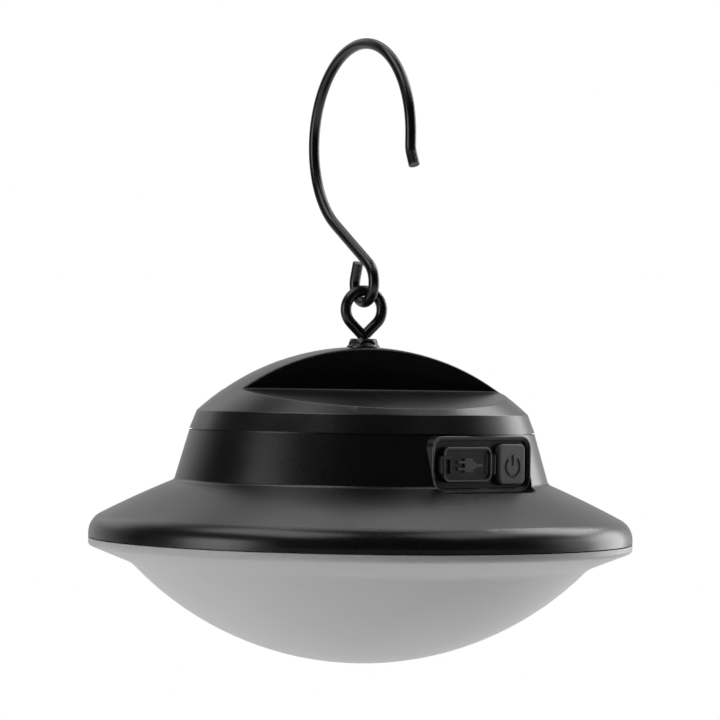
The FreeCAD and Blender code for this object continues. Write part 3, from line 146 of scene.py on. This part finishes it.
# %% Define the finishes
NOISE_LOW = 0.3
NOISE_MIDDLE = 0.5
NOISE_HIGH = 0.7
# a Mix node has sockets for several kinds of value, and these are the ones for colours
FIRST_COLOUR = 6
SECOND_COLOUR = 7
MIXED_COLOUR = 2


class Finish:
    """A node tree that is filled by calls to node()."""

    def __init__(self, tree):
        self.tree = tree
        self.tree.nodes.clear()

    def node(self, kind, inputs=None, out=0, **settings):
        """Add a node, with its settings first and then the values or links of its sockets."""
        made = self.tree.nodes.new(kind)
        for key, value in settings.items():
            setattr(made, key, value)
        for key, value in (inputs or {}).items():
            if isinstance(value, Tone):
                self.tree.links.new(value.socket, made.inputs[key])
            else:
                made.inputs[key].default_value = value
        return Tone(self, made.outputs[out]) if made.outputs else None

    def place(self):
        return self.node("ShaderNodeTexCoord", out="Object")

    def noise(self, grain_size, detail=2.0, place=None):
        """Smooth noise from 0 to 1 whose bumps are about grain_size across."""
        inputs = {"Vector": place or self.place(), "Scale": 1 / grain_size, "Detail": detail}
        return self.node("ShaderNodeTexNoise", inputs, out="Fac")

    def ramp(self, value, start, end, low=0.0, high=1.0, **settings):
        """Go from low to high as the value goes from start to end, and stay there beyond."""
        inputs = {"Value": value, "From Min": start, "From Max": end, "To Min": low, "To Max": high}
        return self.node("ShaderNodeMapRange", inputs, **settings)

    def spread(self, mask, low=0.0, high=1.0):
        """Stretch the middle of a noise to run from low to high."""
        return self.ramp(mask, NOISE_LOW, NOISE_HIGH, low, high)

    def blend(self, mask, first, second):
        """Go from the first colour to the second as the mask goes from 0 to 1."""
        inputs = {"Factor": mask, FIRST_COLOUR: first, SECOND_COLOUR: second}
        return self.node("ShaderNodeMix", inputs, out=MIXED_COLOUR, data_type="RGBA")

    def bump(self, height, depth, strength):
        inputs = {"Height": height, "Distance": depth, "Strength": strength}
        return self.node("ShaderNodeBump", inputs, out="Normal")


print("finishes ready")

# %% Open and close a material


def grey(level):
    return (level, level, level, 1)


def new_material(name):
    made = bpy.data.materials.new(name)
    made.use_nodes = True
    return made, Finish(made.node_tree)


def surface(finish, inputs):
    """Close a material with one shader."""
    shader = finish.node("ShaderNodeBsdfPrincipled", inputs)
    finish.node("ShaderNodeOutputMaterial", {"Surface": shader})


print("materials can be made")

# %% [markdown]
# ## Black moulded plastic
# The cap, the cup and the button come out of a steel mould that was given a fine, even grain, so the plastic
# is black but never a mirror: highlights are wide and soft. Two sizes of noise make it. The fine one is the
# grain and goes mostly to the bump, the coarse one is the slightly uneven gloss that handling leaves.

# %% Make the black plastic
CLOUD_SIZE = 18 * MM
CLOUD_DARK = 0.8
CLOUD_LIGHT = 1.25
GRAIN_IN_GLOSS = 0.03
GRAIN_DEPTH = 0.006 * MM


def moulded_black(name, base, smooth, rough, grain):
    """Grained plastic of a base tone, whose roughness runs from smooth to rough."""
    material, finish = new_material(name)
    spot = finish.place()
    fine = finish.noise(grain, detail=3.0, place=spot)
    cloud = finish.noise(CLOUD_SIZE, detail=3.0, place=spot)
    surface(finish, {
        "Base Color": finish.blend(cloud, grey(base * CLOUD_DARK), grey(base * CLOUD_LIGHT)),
        "Roughness": finish.spread(cloud, smooth, rough) + (fine - NOISE_MIDDLE) * GRAIN_IN_GLOSS,
        "Specular IOR Level": 0.5,
        "Normal": finish.bump(fine, GRAIN_DEPTH, strength=0.4),
    })
    return material


body_black = moulded_black("body_black", base=0.006, smooth=0.26, rough=0.31, grain=0.35 * MM)
# painted sheen: the button's base tone is much lighter than the body's black, standing in for the light its
# face catches
button_painted_sheen = moulded_black("button_painted_sheen", base=0.13, smooth=0.5, rough=0.58, grain=0.25 * MM)
inner_black = moulded_black("inner_black", base=0.02, smooth=0.5, rough=0.56, grain=0.3 * MM)
print("black plastics:", body_black.name, button_painted_sheen.name, inner_black.name)

# %% [markdown]
# ## Rubber and wire
# Rubber scatters light more than the plastic does, so it is rougher and a touch greyer. The raised marks on
# it get a lighter grey rubber, a painted highlight that makes their edges show. The wire is steel under a
# thin
# baked paint: about as dark as the plastic and a little glossier, with the gentle orange-peel of paint.

# %% Make rubber and wire paint


def soft_rubber(name):
    material, finish = new_material(name)
    spot = finish.place()
    fine = finish.noise(0.2 * MM, detail=2.0, place=spot)
    dust = finish.noise(3 * MM, detail=4.0, place=spot)
    surface(finish, {
        "Base Color": finish.blend(finish.spread(dust), grey(0.008), grey(0.013)),
        "Roughness": finish.spread(dust, 0.3, 0.38),
        "Specular IOR Level": 0.4,
        "Normal": finish.bump(fine, 0.01 * MM, strength=0.5),
    })
    return material


def wire_paint(name):
    material, finish = new_material(name)
    spot = finish.place()
    peel = finish.noise(0.9 * MM, detail=2.0, place=spot)
    wear = finish.noise(6 * MM, detail=5.0, place=spot)
    surface(finish, {
        "Base Color": finish.blend(finish.spread(wear), grey(0.004), grey(0.008)),
        "Roughness": finish.spread(wear, 0.22, 0.3),
        "Specular IOR Level": 0.45,
        "Normal": finish.bump(peel, 0.008 * MM, strength=0.4),
    })
    return material


rubber = soft_rubber("rubber")
# painted highlight: a lighter grey for the raised marks on the rubber, so that their edges show
painted_highlight_rubber = moulded_black("rubber_painted_highlight", base=0.09, smooth=0.3, rough=0.38, grain=0.2 * MM)
wire = wire_paint("wire")
print("soft finishes:", rubber.name, painted_highlight_rubber.name, wire.name)

# %% [markdown]
# ## Milky plastic
# The bowl lets light sink in before it comes back, which is what the subsurface part of the shader does. Its
# colour is painted darker towards the rim, under the black flange: a painted shade for the shade that falls
# there. That could be left to the lamps, but a tone that follows the height is surer, and it stays with the
# bowl when the lantern swings.

# %% Make the milky plastic
SHADE_HEIGHT = 13 * MM
SINK = 3 * MM
MILK_DARK = (0.57, 0.57, 0.57, 1)
MILK_LIGHT = (0.61, 0.61, 0.605, 1)
# painted shade: the grey that the bowl's colour runs to at the rim
MILK_RIM_PAINTED_SHADE = grey(0.46)

rim_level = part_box("diffuser")[1].z


def milky_plastic(name):
    material, finish = new_material(name)
    spot = finish.place()
    flow = finish.noise(30 * MM, detail=2.0, place=spot)
    fine = finish.noise(0.4 * MM, detail=2.0, place=spot)
    level = finish.node("ShaderNodeSeparateXYZ", {"Vector": spot}, out="Z")
    # painted shade: the base colour darkens smoothly over the top of the bowl, towards the rim
    shade = finish.ramp(level, rim_level - SHADE_HEIGHT, rim_level, interpolation_type="SMOOTHSTEP")
    bowl = finish.blend(finish.spread(flow), MILK_DARK, MILK_LIGHT)
    surface(finish, {
        "Base Color": finish.blend(shade, bowl, MILK_RIM_PAINTED_SHADE),
        "Roughness": finish.spread(flow, 0.42, 0.48),
        "Specular IOR Level": 0.35,
        "Subsurface Weight": 0.3,
        "Subsurface Radius": (SINK, SINK, SINK),
        "Subsurface Scale": 1.0,
        "Normal": finish.bump(fine, 0.006 * MM, strength=0.5),
    })
    return material


milky = milky_plastic("milky")
print("milky plastic:", milky.name, "rim at", round(rim_level / MM, 2), "mm")

# %% [markdown]
# ## The pieces inside
# They sit behind black or milky walls, and show only when someone takes the lantern apart. Each still gets
# the finish of the real thing: brushed plated steel, a white reflector, a green board, yellow light chips and
# film-wrapped cells. All but the steel differ only in two tones, a grain and a roughness, so one function
# makes them.

# %% Make the inner finishes
BRUSH_STRETCH = (1, 1, 12)
ROUGH_SPAN = 0.05


def plated_steel(name):
    material, finish = new_material(name)
    stretched = finish.node("ShaderNodeMapping", {"Vector": finish.place(), "Scale": BRUSH_STRETCH})
    brush = finish.noise(0.8 * MM, detail=4.0, place=stretched)
    surface(finish, {
        "Base Color": finish.blend(brush, grey(0.5), grey(0.62)),
        "Metallic": 1.0,
        "Roughness": finish.spread(brush, 0.26, 0.4),
        "Normal": finish.bump(brush, 0.004 * MM, strength=0.4),
    })
    return material


def speckled(name, dark, light, grain, rough):
    material, finish = new_material(name)
    speck = finish.noise(grain, detail=4.0)
    surface(finish, {
        "Base Color": finish.blend(finish.spread(speck), dark, light),
        "Roughness": finish.spread(speck, rough - ROUGH_SPAN, rough + ROUGH_SPAN),
        "Normal": finish.bump(speck, 0.01 * MM, strength=0.4),
    })
    return material


steel = plated_steel("plated_steel")
reflector = speckled("reflector", (0.82, 0.82, 0.8, 1), (0.86, 0.86, 0.85, 1), grain=8 * MM, rough=0.4)
board_white = speckled("board_white", (0.8, 0.81, 0.8, 1), (0.88, 0.88, 0.87, 1), grain=1.5 * MM, rough=0.35)
board_green = speckled("board_green", (0.02, 0.12, 0.05, 1), (0.04, 0.2, 0.09, 1), grain=1.2 * MM, rough=0.35)
phosphor = speckled("phosphor", (0.8, 0.62, 0.12, 1), (0.9, 0.76, 0.25, 1), grain=0.4 * MM, rough=0.5)
cell_film = speckled("cell_film", (0.05, 0.16, 0.32, 1), (0.08, 0.22, 0.42, 1), grain=5 * MM, rough=0.3)
inner_finishes = (steel, reflector, board_white, board_green, phosphor, cell_film)
print("inner finishes:", [made.name for made in inner_finishes])

# %% [markdown]
# ## Who wears what
# A finish belongs to a material, and a material to many pieces, so one table says which piece wears which
# finish. A piece that the table leaves out is a screw, a nut, a washer or a bent plate, and those are all
# plated steel.

# %% Give every node its finish
FINISHES = {
    "hook": wire, "eye_bolt": wire, "eye_collar_nut": wire,
    "top_cap": body_black, "housing": body_black, "power_button": button_painted_sheen,
    "port_flap": rubber, "flap_anchor": rubber, "cap_gasket": rubber, "diffuser_seal": rubber,
    "diffuser": milky, "led_plate": reflector, "led_board": board_white, "leds": phosphor,
    "charge_board": board_green, "battery_cells": cell_film, "battery_cradle": inner_black,
    "switch_plunger": inner_black, "tact_switch": inner_black, "usb_tongue": inner_black,
}
for name, node in frame["nodes"].items():
    node.data.materials.clear()
    node.data.materials.append(FINISHES.get(name, steel))
print("finished nodes:", len(frame["nodes"]))

# %% [markdown]
# ## The pod's own axes
# The pod's face is turned away from the main axes, so the marks on it are drawn in axes of their own: right
# and up along the face, and out of it. The button's slide gives the way in, and the flap's hinge a point to
# measure from.

# %% Work out the pod's axes
FACE_DEPTH = 0.02 * MM

joints = {joint["name"]: joint for joint in frame["joints"]}
pod_out = -Vector(joints["button_press"]["axis"])
pod_right = UP.cross(pod_out)
pod_axes = Matrix((pod_right, UP, pod_out)).transposed().to_4x4()
flap_hinge = Vector(joints["flap_hinge"]["pos_m"])


def face_middle(node):
    """The middle of the outermost face of a piece on the pod, in the frame of the solid model."""
    back = pod_axes.inverted()
    spots = [back @ vertex.co for vertex in frame["nodes"][node].data.vertices]
    front = max(spot.z for spot in spots)
    face = [spot for spot in spots if front - spot.z < FACE_DEPTH]
    across = (min(spot.x for spot in face) + max(spot.x for spot in face)) / 2
    height = (min(spot.y for spot in face) + max(spot.y for spot in face)) / 2
    return pod_axes @ Vector((across, height, front))


button_middle = face_middle("power_button")
print("button's face at", [round(value / MM, 2) for value in button_middle])

# %% [markdown]
# ## Tools for small pieces
# Marks are a few tenths of a millimetre deep and sit on a turned face. Drawing them flat at the origin keeps
# the numbers simple; the finished shape is then moved to its place, and the move is written into its mesh.

# %% Take, copy and settle a piece
WELD = 0.001 * MM


def take(piece):
    """Make a piece the only selected object."""
    bpy.ops.object.select_all(action="DESELECT")
    piece.select_set(True)
    bpy.context.view_layer.objects.active = piece


def welded_copy(node, name):
    """A new object with a copy of a node's mesh, its loose triangles merged."""
    piece = bpy.data.objects.new(name, frame["nodes"][node].data.copy())
    bpy.context.scene.collection.objects.link(piece)
    take(piece)
    bpy.ops.object.mode_set(mode="EDIT")
    bpy.ops.mesh.select_all(action="SELECT")
    bpy.ops.mesh.remove_doubles(threshold=WELD)
    bpy.ops.object.mode_set(mode="OBJECT")
    return piece


def settle(piece, at):
    """Move a piece that was drawn at the origin to its place, and put that place in its mesh."""
    piece.matrix_world = at @ piece.matrix_world
    take(piece)
    bpy.ops.object.transform_apply(location=True, rotation=True, scale=True)


print("pieces can be copied and placed")

# %% Shape a piece
SOFT_ANGLE = math.radians(60)


def bar(name, left, right, low, high, depth):
    """A bar with a rectangular outline that reaches depth to both sides of the drawing plane."""
    bpy.ops.object.select_all(action="DESELECT")
    bpy.ops.mesh.primitive_cube_add(size=1, location=((left + right) / 2, (low + high) / 2, 0))
    piece = bpy.context.object
    piece.name = name
    piece.scale = (right - left, high - low, 2 * depth)
    bpy.ops.object.transform_apply(location=True, rotation=True, scale=True)
    return piece


def combine(piece, other, operation):
    """Cut another piece out of a piece, join the two or keep what they share, and remove the other."""
    modifier = piece.modifiers.new("combine", "BOOLEAN")
    modifier.operation = operation
    modifier.solver = "EXACT"
    modifier.object = other
    take(piece)
    bpy.ops.object.modifier_apply(modifier=modifier.name)
    bpy.data.objects.remove(other)


def soften(piece, width, segments):
    """Round a piece's edges with a bevel, and keep its flat faces flat to the light."""
    modifier = piece.modifiers.new("soften", "BEVEL")
    modifier.width = width
    modifier.segments = segments
    modifier.limit_method = "ANGLE"
    take(piece)
    bpy.ops.object.modifier_apply(modifier=modifier.name)
    bpy.ops.object.shade_smooth_by_angle(angle=SOFT_ANGLE)
    piece.modifiers.new("even", "WEIGHTED_NORMAL")
    bpy.ops.object.modifier_apply(modifier="even")


print("pieces can be shaped")

# %% [markdown]
# ## The power mark
# The ring and bar are sunk into the button, so a groove has to be cut: a raised line would catch the light on
# the wrong side. A copy of the button is welded, a ring is spun from a small rectangle, a bar is made from a
# cube, and both are taken out of the copy. The copy then stands for the plain button.

# %% Spin the ring of the power mark
RING_RADIUS = 2.4 * MM
STROKE = 0.85 * MM
GROOVE = 0.35 * MM
RING_OPEN = math.radians(80)
RING_STEPS = 40


def ring_stroke(name):
    """An open ring with a rectangular section about the origin."""
    bpy.ops.object.select_all(action="DESELECT")
    bpy.ops.mesh.primitive_plane_add(size=1, location=(0, RING_RADIUS, 0), rotation=(0, math.pi / 2, 0))
    piece = bpy.context.object
    piece.name = name
    piece.scale = (2 * GROOVE, STROKE, 1)
    bpy.ops.object.transform_apply(location=True, rotation=True, scale=True)
    bpy.ops.object.mode_set(mode="EDIT")
    bpy.ops.mesh.select_all(action="SELECT")
    bpy.ops.mesh.spin(steps=RING_STEPS, angle=2 * math.pi - RING_OPEN, center=(0, 0, 0), axis=(0, 0, 1))
    bpy.ops.mesh.select_all(action="SELECT")
    bpy.ops.mesh.remove_doubles(threshold=WELD)
    bpy.ops.mesh.normals_make_consistent(inside=False)
    bpy.ops.object.mode_set(mode="OBJECT")
    return piece


ring = ring_stroke("ring_cutter")
print("ring faces:", len(ring.data.polygons))

# %% Cut the power mark into a copy of the button
BAR_FOOT = 0.2 * MM
BAR_HEAD = 2.9 * MM
MARK_DROP = 0.6 * MM

button_face = Matrix.Translation(button_middle - UP * MARK_DROP) @ pod_axes
button = welded_copy("power_button", "button_with_mark")
settle(ring, button_face @ Matrix.Rotation(-RING_OPEN / 2, 4, "Z"))
stem = bar("stem_cutter", -STROKE / 2, STROKE / 2, BAR_FOOT, BAR_HEAD, GROOVE)
settle(stem, button_face)
combine(button, ring, "DIFFERENCE")
combine(button, stem, "DIFFERENCE")
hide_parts("power_button")
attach(button, "button")
print("button faces:", len(button.data.polygons))

# %% [markdown]
# ## The collar nut's turned corners
# A nut is cut from a hexagon bar, and a cone is then turned over its upper corners, so that they slant. A
# bevel would take the same width off every edge, but the cone takes most at the corners and least at the
# flats. So a cone is laid over a copy of the nut, and only what lies inside both is kept. The cut leaves
# points that almost lie on each other, which are merged, and normals of the old shape, which are cleared.

# %% Turn the corners of a copy of the collar nut
CROWN_RADIUS = 3.3 * MM
CROWN_SLANT = 0.55
CONE_SPARE = 0.5 * MM
CONE_STEPS = 96
CUT_WELD = 0.003 * MM
NUT_ANGLE = math.radians(25)

nut_low, nut_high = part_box("eye_collar_nut")
cone_low = nut_low.z - CONE_SPARE
cone_high = nut_high.z + CONE_SPARE
collar_nut = welded_copy("eye_collar_nut", "turned_collar_nut")
bpy.ops.object.select_all(action="DESELECT")
bpy.ops.mesh.primitive_cone_add(
    vertices=CONE_STEPS,
    radius1=CROWN_RADIUS + CROWN_SLANT * (nut_high.z - cone_low),
    radius2=CROWN_RADIUS - CROWN_SLANT * CONE_SPARE,
    depth=cone_high - cone_low,
    location=(0, 0, (cone_low + cone_high) / 2),
)
cone = bpy.context.object
bpy.ops.object.transform_apply(location=True, rotation=True, scale=True)
combine(collar_nut, cone, "INTERSECT")
bpy.ops.object.mode_set(mode="EDIT")
bpy.ops.mesh.select_all(action="SELECT")
bpy.ops.mesh.remove_doubles(threshold=CUT_WELD)
bpy.ops.mesh.dissolve_degenerate(threshold=CUT_WELD)
bpy.ops.object.mode_set(mode="OBJECT")
bpy.ops.mesh.customdata_custom_splitnormals_clear()
bpy.ops.object.shade_smooth_by_angle(angle=NUT_ANGLE)
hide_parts("eye_collar_nut")
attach(collar_nut, "lantern")
print("collar nut faces:", len(collar_nut.data.polygons))

# %% [markdown]
# ## The charge mark
# A raised sign on the flap says what is behind it. A plug lying on its side tells that at a glance: a body,
# two prongs, a neck and a length of cable. Each is a bar, and the bars are joined before their edges are
# rounded, so that no edge is left inside. It stands proud of the flap and is painted a lighter grey, a
# painted highlight that makes its edges show.

# %% Model the plug sign on the flap
SIGN_LEFT = 9.2 * MM
SIGN_DROP = 0.2 * MM
SIGN_FLOOR = 0.15 * MM
SIGN_RISE = 0.45 * MM
SIGN_EDGE = 0.15 * MM
# left, right, low and high of each bar, in millimetres
SIGN_BARS = {
    "charge_mark": (-1.3, 1.5, -1.7, 1.7),
    "prong": (-3.6, -1.2, 0.55, 1.15),
    "other_prong": (-3.6, -1.2, -1.15, -0.55),
    "neck": (1.4, 2.5, -0.8, 0.8),
    "cable": (2.4, 4.8, -0.35, 0.35),
}

sign, *extras = [bar(name, *(side * MM for side in sides), SIGN_RISE) for name, sides in SIGN_BARS.items()]
for extra in extras:
    combine(sign, extra, "UNION")
soften(sign, SIGN_EDGE, segments=2)
sign_place = flap_hinge - pod_right * SIGN_LEFT + pod_out * SIGN_FLOOR - UP * SIGN_DROP
settle(sign, Matrix.Translation(sign_place) @ pod_axes)
# the sign wears the lighter grey of the painted highlight
sign.data.materials.append(painted_highlight_rubber)
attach(sign, "flap")
print("charge mark faces:", len(sign.data.polygons))

# %% [markdown]
# ## Raised edges on the pod
# A thin raised edge runs round the pod and another round the flap. They show as bright lines, because a
# rounded edge always finds some lamp to mirror, and fingers keep it polished; they are also painted a much
# lighter grey than the plastic and rubber round them, a painted highlight. They could be cut from the
# solid pieces, but bands of their own are easier to shape: a rectangle gets round corners and is inset to a
# narrow band, and the band is pulled out and rounded. Both are the same shape at two sizes, so one function
# models them. The rounding is less than half of the band's height and width, so the mesh stays closed.

# %% Define the raised band
BAND_SUNK = 0.1 * MM
BAND_ROUND = 0.4
CORNER_STEPS = 10


def raised_band(name, width, height, corner, band, rise):
    """A rounded band round a rectangle, standing rise above the drawing plane and sunk a little below."""
    bpy.ops.object.select_all(action="DESELECT")
    bpy.ops.mesh.primitive_plane_add(size=1, location=(0, 0, -BAND_SUNK))
    piece = bpy.context.object
    piece.name = name
    piece.scale = (width, height, 1)
    bpy.ops.object.transform_apply(location=True, rotation=True, scale=True)
    bpy.ops.object.mode_set(mode="EDIT")
    bpy.ops.mesh.select_all(action="SELECT")
    bpy.ops.mesh.bevel(offset=corner, segments=CORNER_STEPS, affect="VERTICES")
    bpy.ops.mesh.select_all(action="SELECT")
    bpy.ops.mesh.inset(thickness=band)
    bpy.ops.mesh.delete(type="FACE")
    bpy.ops.mesh.select_all(action="SELECT")
    bpy.ops.mesh.extrude_region_move(TRANSFORM_OT_translate={"value": (0, 0, rise + BAND_SUNK)})
    bpy.ops.mesh.select_all(action="SELECT")
    bpy.ops.mesh.normals_make_consistent(inside=False)
    bpy.ops.object.mode_set(mode="OBJECT")
    soften(piece, min(rise + BAND_SUNK, band) * BAND_ROUND, segments=3)
    return piece


print("raised band ready")

# %% Model the pod's lip and the flap's bead
HINGE_RIGHT = 3.9 * MM
HINGE_OUT = 0.2 * MM
FLAP_LEFT = 5.55 * MM
FLAP_OUT = 0.7 * MM

# painted highlight: the lip is a much lighter grey than the body's plastic, so that it shows as a bright line
lip_painted_highlight = moulded_black("lip_painted_highlight", base=0.1, smooth=0.2, rough=0.26, grain=0.35 * MM)
pod_middle = flap_hinge - pod_right * HINGE_RIGHT - pod_out * HINGE_OUT
lip = raised_band(
    "pod_lip", width=34.2 * MM, height=14 * MM, corner=3.2 * MM, band=0.6 * MM, rise=0.3 * MM)
settle(lip, Matrix.Translation(pod_middle) @ pod_axes)
lip.data.materials.append(lip_painted_highlight)
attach(lip, "lantern")
flap_middle = pod_middle - pod_right * FLAP_LEFT + pod_out * FLAP_OUT
bead = raised_band(
    "flap_bead", width=16.4 * MM, height=8.5 * MM, corner=1.85 * MM, band=0.45 * MM, rise=0.15 * MM)
settle(bead, Matrix.Translation(flap_middle) @ pod_axes)
# the bead wears the lighter grey of the painted highlight
bead.data.materials.append(painted_highlight_rubber)
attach(bead, "flap")
print("raised edges:", len(lip.data.polygons), len(bead.data.polygons))

# %% [markdown]
# ## The soft boxes
# The photograph shows a dark room behind the camera, and soft boxes above and at the sides: the black plastic
# is dark where it mirrors the room, and grey where it mirrors a box. Glowing planes could stand for the
# boxes, but area lamps give less noise. A lamp's power grows with its area, so that its glow stays the same.

# %% Hang the soft boxes
TARGET = Vector((0, 0, -0.11))
BOX_DISTANCE = 0.9
POWER_PER_AREA = 4
# turn from the camera and rise in degrees, width and height in metres, glow
SOFT_BOXES = {
    "left_box": (-60, 6, 0.45, 0.5, 2.7),
    "left_top_box": (-62, 62, 0.75, 0.45, 2.0),
    "right_top_box": (75, 60, 0.6, 0.4, 1.2),
    "top_box": (180, 68, 0.6, 0.5, 1.05),
    "right_front_box": (98, 10, 0.3, 0.5, 0.9),
    "right_box": (126, 6, 0.5, 0.5, 3.0),
    "right_high_box": (128, 40, 0.45, 0.45, 3.2),
    "left_back_box": (-140, 30, 0.45, 0.5, 0.4),
}


def soft_box(name, turn, rise, width, height, glow):
    """An area lamp that looks at the lantern; turn is counted from the camera, to the right."""
    around = Matrix.Rotation(math.radians(turn), 3, "Z") @ towards_camera
    level = math.radians(rise)
    direction = around * math.cos(level) + UP * math.sin(level)
    bpy.ops.object.select_all(action="DESELECT")
    bpy.ops.object.light_add(type="AREA", location=TARGET + direction * BOX_DISTANCE)
    lamp = bpy.context.object
    lamp.name = name
    lamp.rotation_euler = direction.to_track_quat("Z", "Y").to_euler()
    lamp.data.shape = "RECTANGLE"
    lamp.data.size = width
    lamp.data.size_y = height
    lamp.data.energy = POWER_PER_AREA * width * height * glow
    lamp.visible_camera = False


for name, values in SOFT_BOXES.items():
    soft_box(name, *values)

# %% [markdown]
# ## The white background
# The world is plain white to the camera, and to light that has passed through a clear piece. To all other
# light it is dark on the camera's side and grows to a dim white behind the lantern, as a lit backdrop does:
# that is what the edges of the black plastic mirror. Mirrored light could be shown the full white too, and on
# bright metal it should be, but black plastic that mirrors white on all sides turns grey.

# %% Light the background
BACKDROP_START = 0.35
BACKDROP_END = 0.75
BACKDROP_GLOW = 0.6

world = bpy.data.worlds.new("studio")
bpy.context.scene.world = world
world.use_nodes = True
room = Finish(world.node_tree)
seen = room.node("ShaderNodeLightPath", out="Is Camera Ray")
through = room.node("ShaderNodeLightPath", out="Is Transmission Ray")
ray = room.node("ShaderNodeTexCoord", out="Generated")
away = {0: ray, 1: -towards_camera}
behind = room.node("ShaderNodeVectorMath", away, operation="DOT_PRODUCT", out="Value")
dim = room.ramp(behind, BACKDROP_START, BACKDROP_END, 0.0, BACKDROP_GLOW)
shown = {"Factor": seen.larger(through), "A": dim, "B": 1.0}
tone = room.node("ShaderNodeMix", shown, data_type="FLOAT")
backdrop = room.node("ShaderNodeBackground", {"Color": tone, "Strength": 1.0})
room.node("ShaderNodeOutputWorld", {"Surface": backdrop})
print("world:", world.name)

# %% [markdown]
# ## The floor
# The lantern hangs, so the floor lies some way below it. It is pale, and it is shown brighter than its light
# alone would make it, to the camera and to light that is mirrored or has passed through a clear piece. That
# grows towards its edge, where it runs into the white background, and the soft shadow in its middle stays.
# Seen from below it is clear.

# %% Lay the floor
FLOOR_DROP = 0.11
FLOOR_RADIUS = 0.85
FLOOR_STEPS = 128
SHADOW_RADIUS = 0.2
SHADOW_GLOW = 0.6
FADE_RADIUS = FLOOR_RADIUS * 0.95

floor_level = cad_low.z - FLOOR_DROP
bpy.ops.object.select_all(action="DESELECT")
bpy.ops.mesh.primitive_circle_add(
    vertices=FLOOR_STEPS, radius=FLOOR_RADIUS, fill_type="NGON", location=(0, 0, floor_level))
floor = bpy.context.object
floor.name = "floor"
floor_paper, finish = new_material("floor_paper")
paper = finish.node("ShaderNodeBsdfPrincipled", {
    "Base Color": finish.blend(finish.noise(40 * MM), grey(0.80), grey(0.84)), "Roughness": 0.8})
glow = finish.node("ShaderNodeEmission", {"Color": grey(1.0), "Strength": 1.0})
looked_at = finish.node("ShaderNodeLightPath", out="Is Camera Ray")
mirrored = finish.node("ShaderNodeLightPath", out="Is Glossy Ray")
reach = finish.node("ShaderNodeVectorMath", {0: finish.place()}, operation="LENGTH", out="Value")
fade = finish.ramp(reach, SHADOW_RADIUS, FADE_RADIUS, SHADOW_GLOW, 1.0)
passed = finish.node("ShaderNodeLightPath", out="Is Transmission Ray")
lit_up = looked_at.larger(mirrored).larger(passed) * fade
above = finish.node("ShaderNodeMixShader", {"Fac": lit_up, 1: paper, 2: glow})
below = finish.node("ShaderNodeBsdfTransparent")
from_below = finish.node("ShaderNodeNewGeometry", out="Backfacing")
sheet = finish.node("ShaderNodeMixShader", {"Fac": from_below, 1: above, 2: below})
finish.node("ShaderNodeOutputMaterial", {"Surface": sheet})
floor.data.materials.append(floor_paper)
print("floor at", round(floor_level, 3))
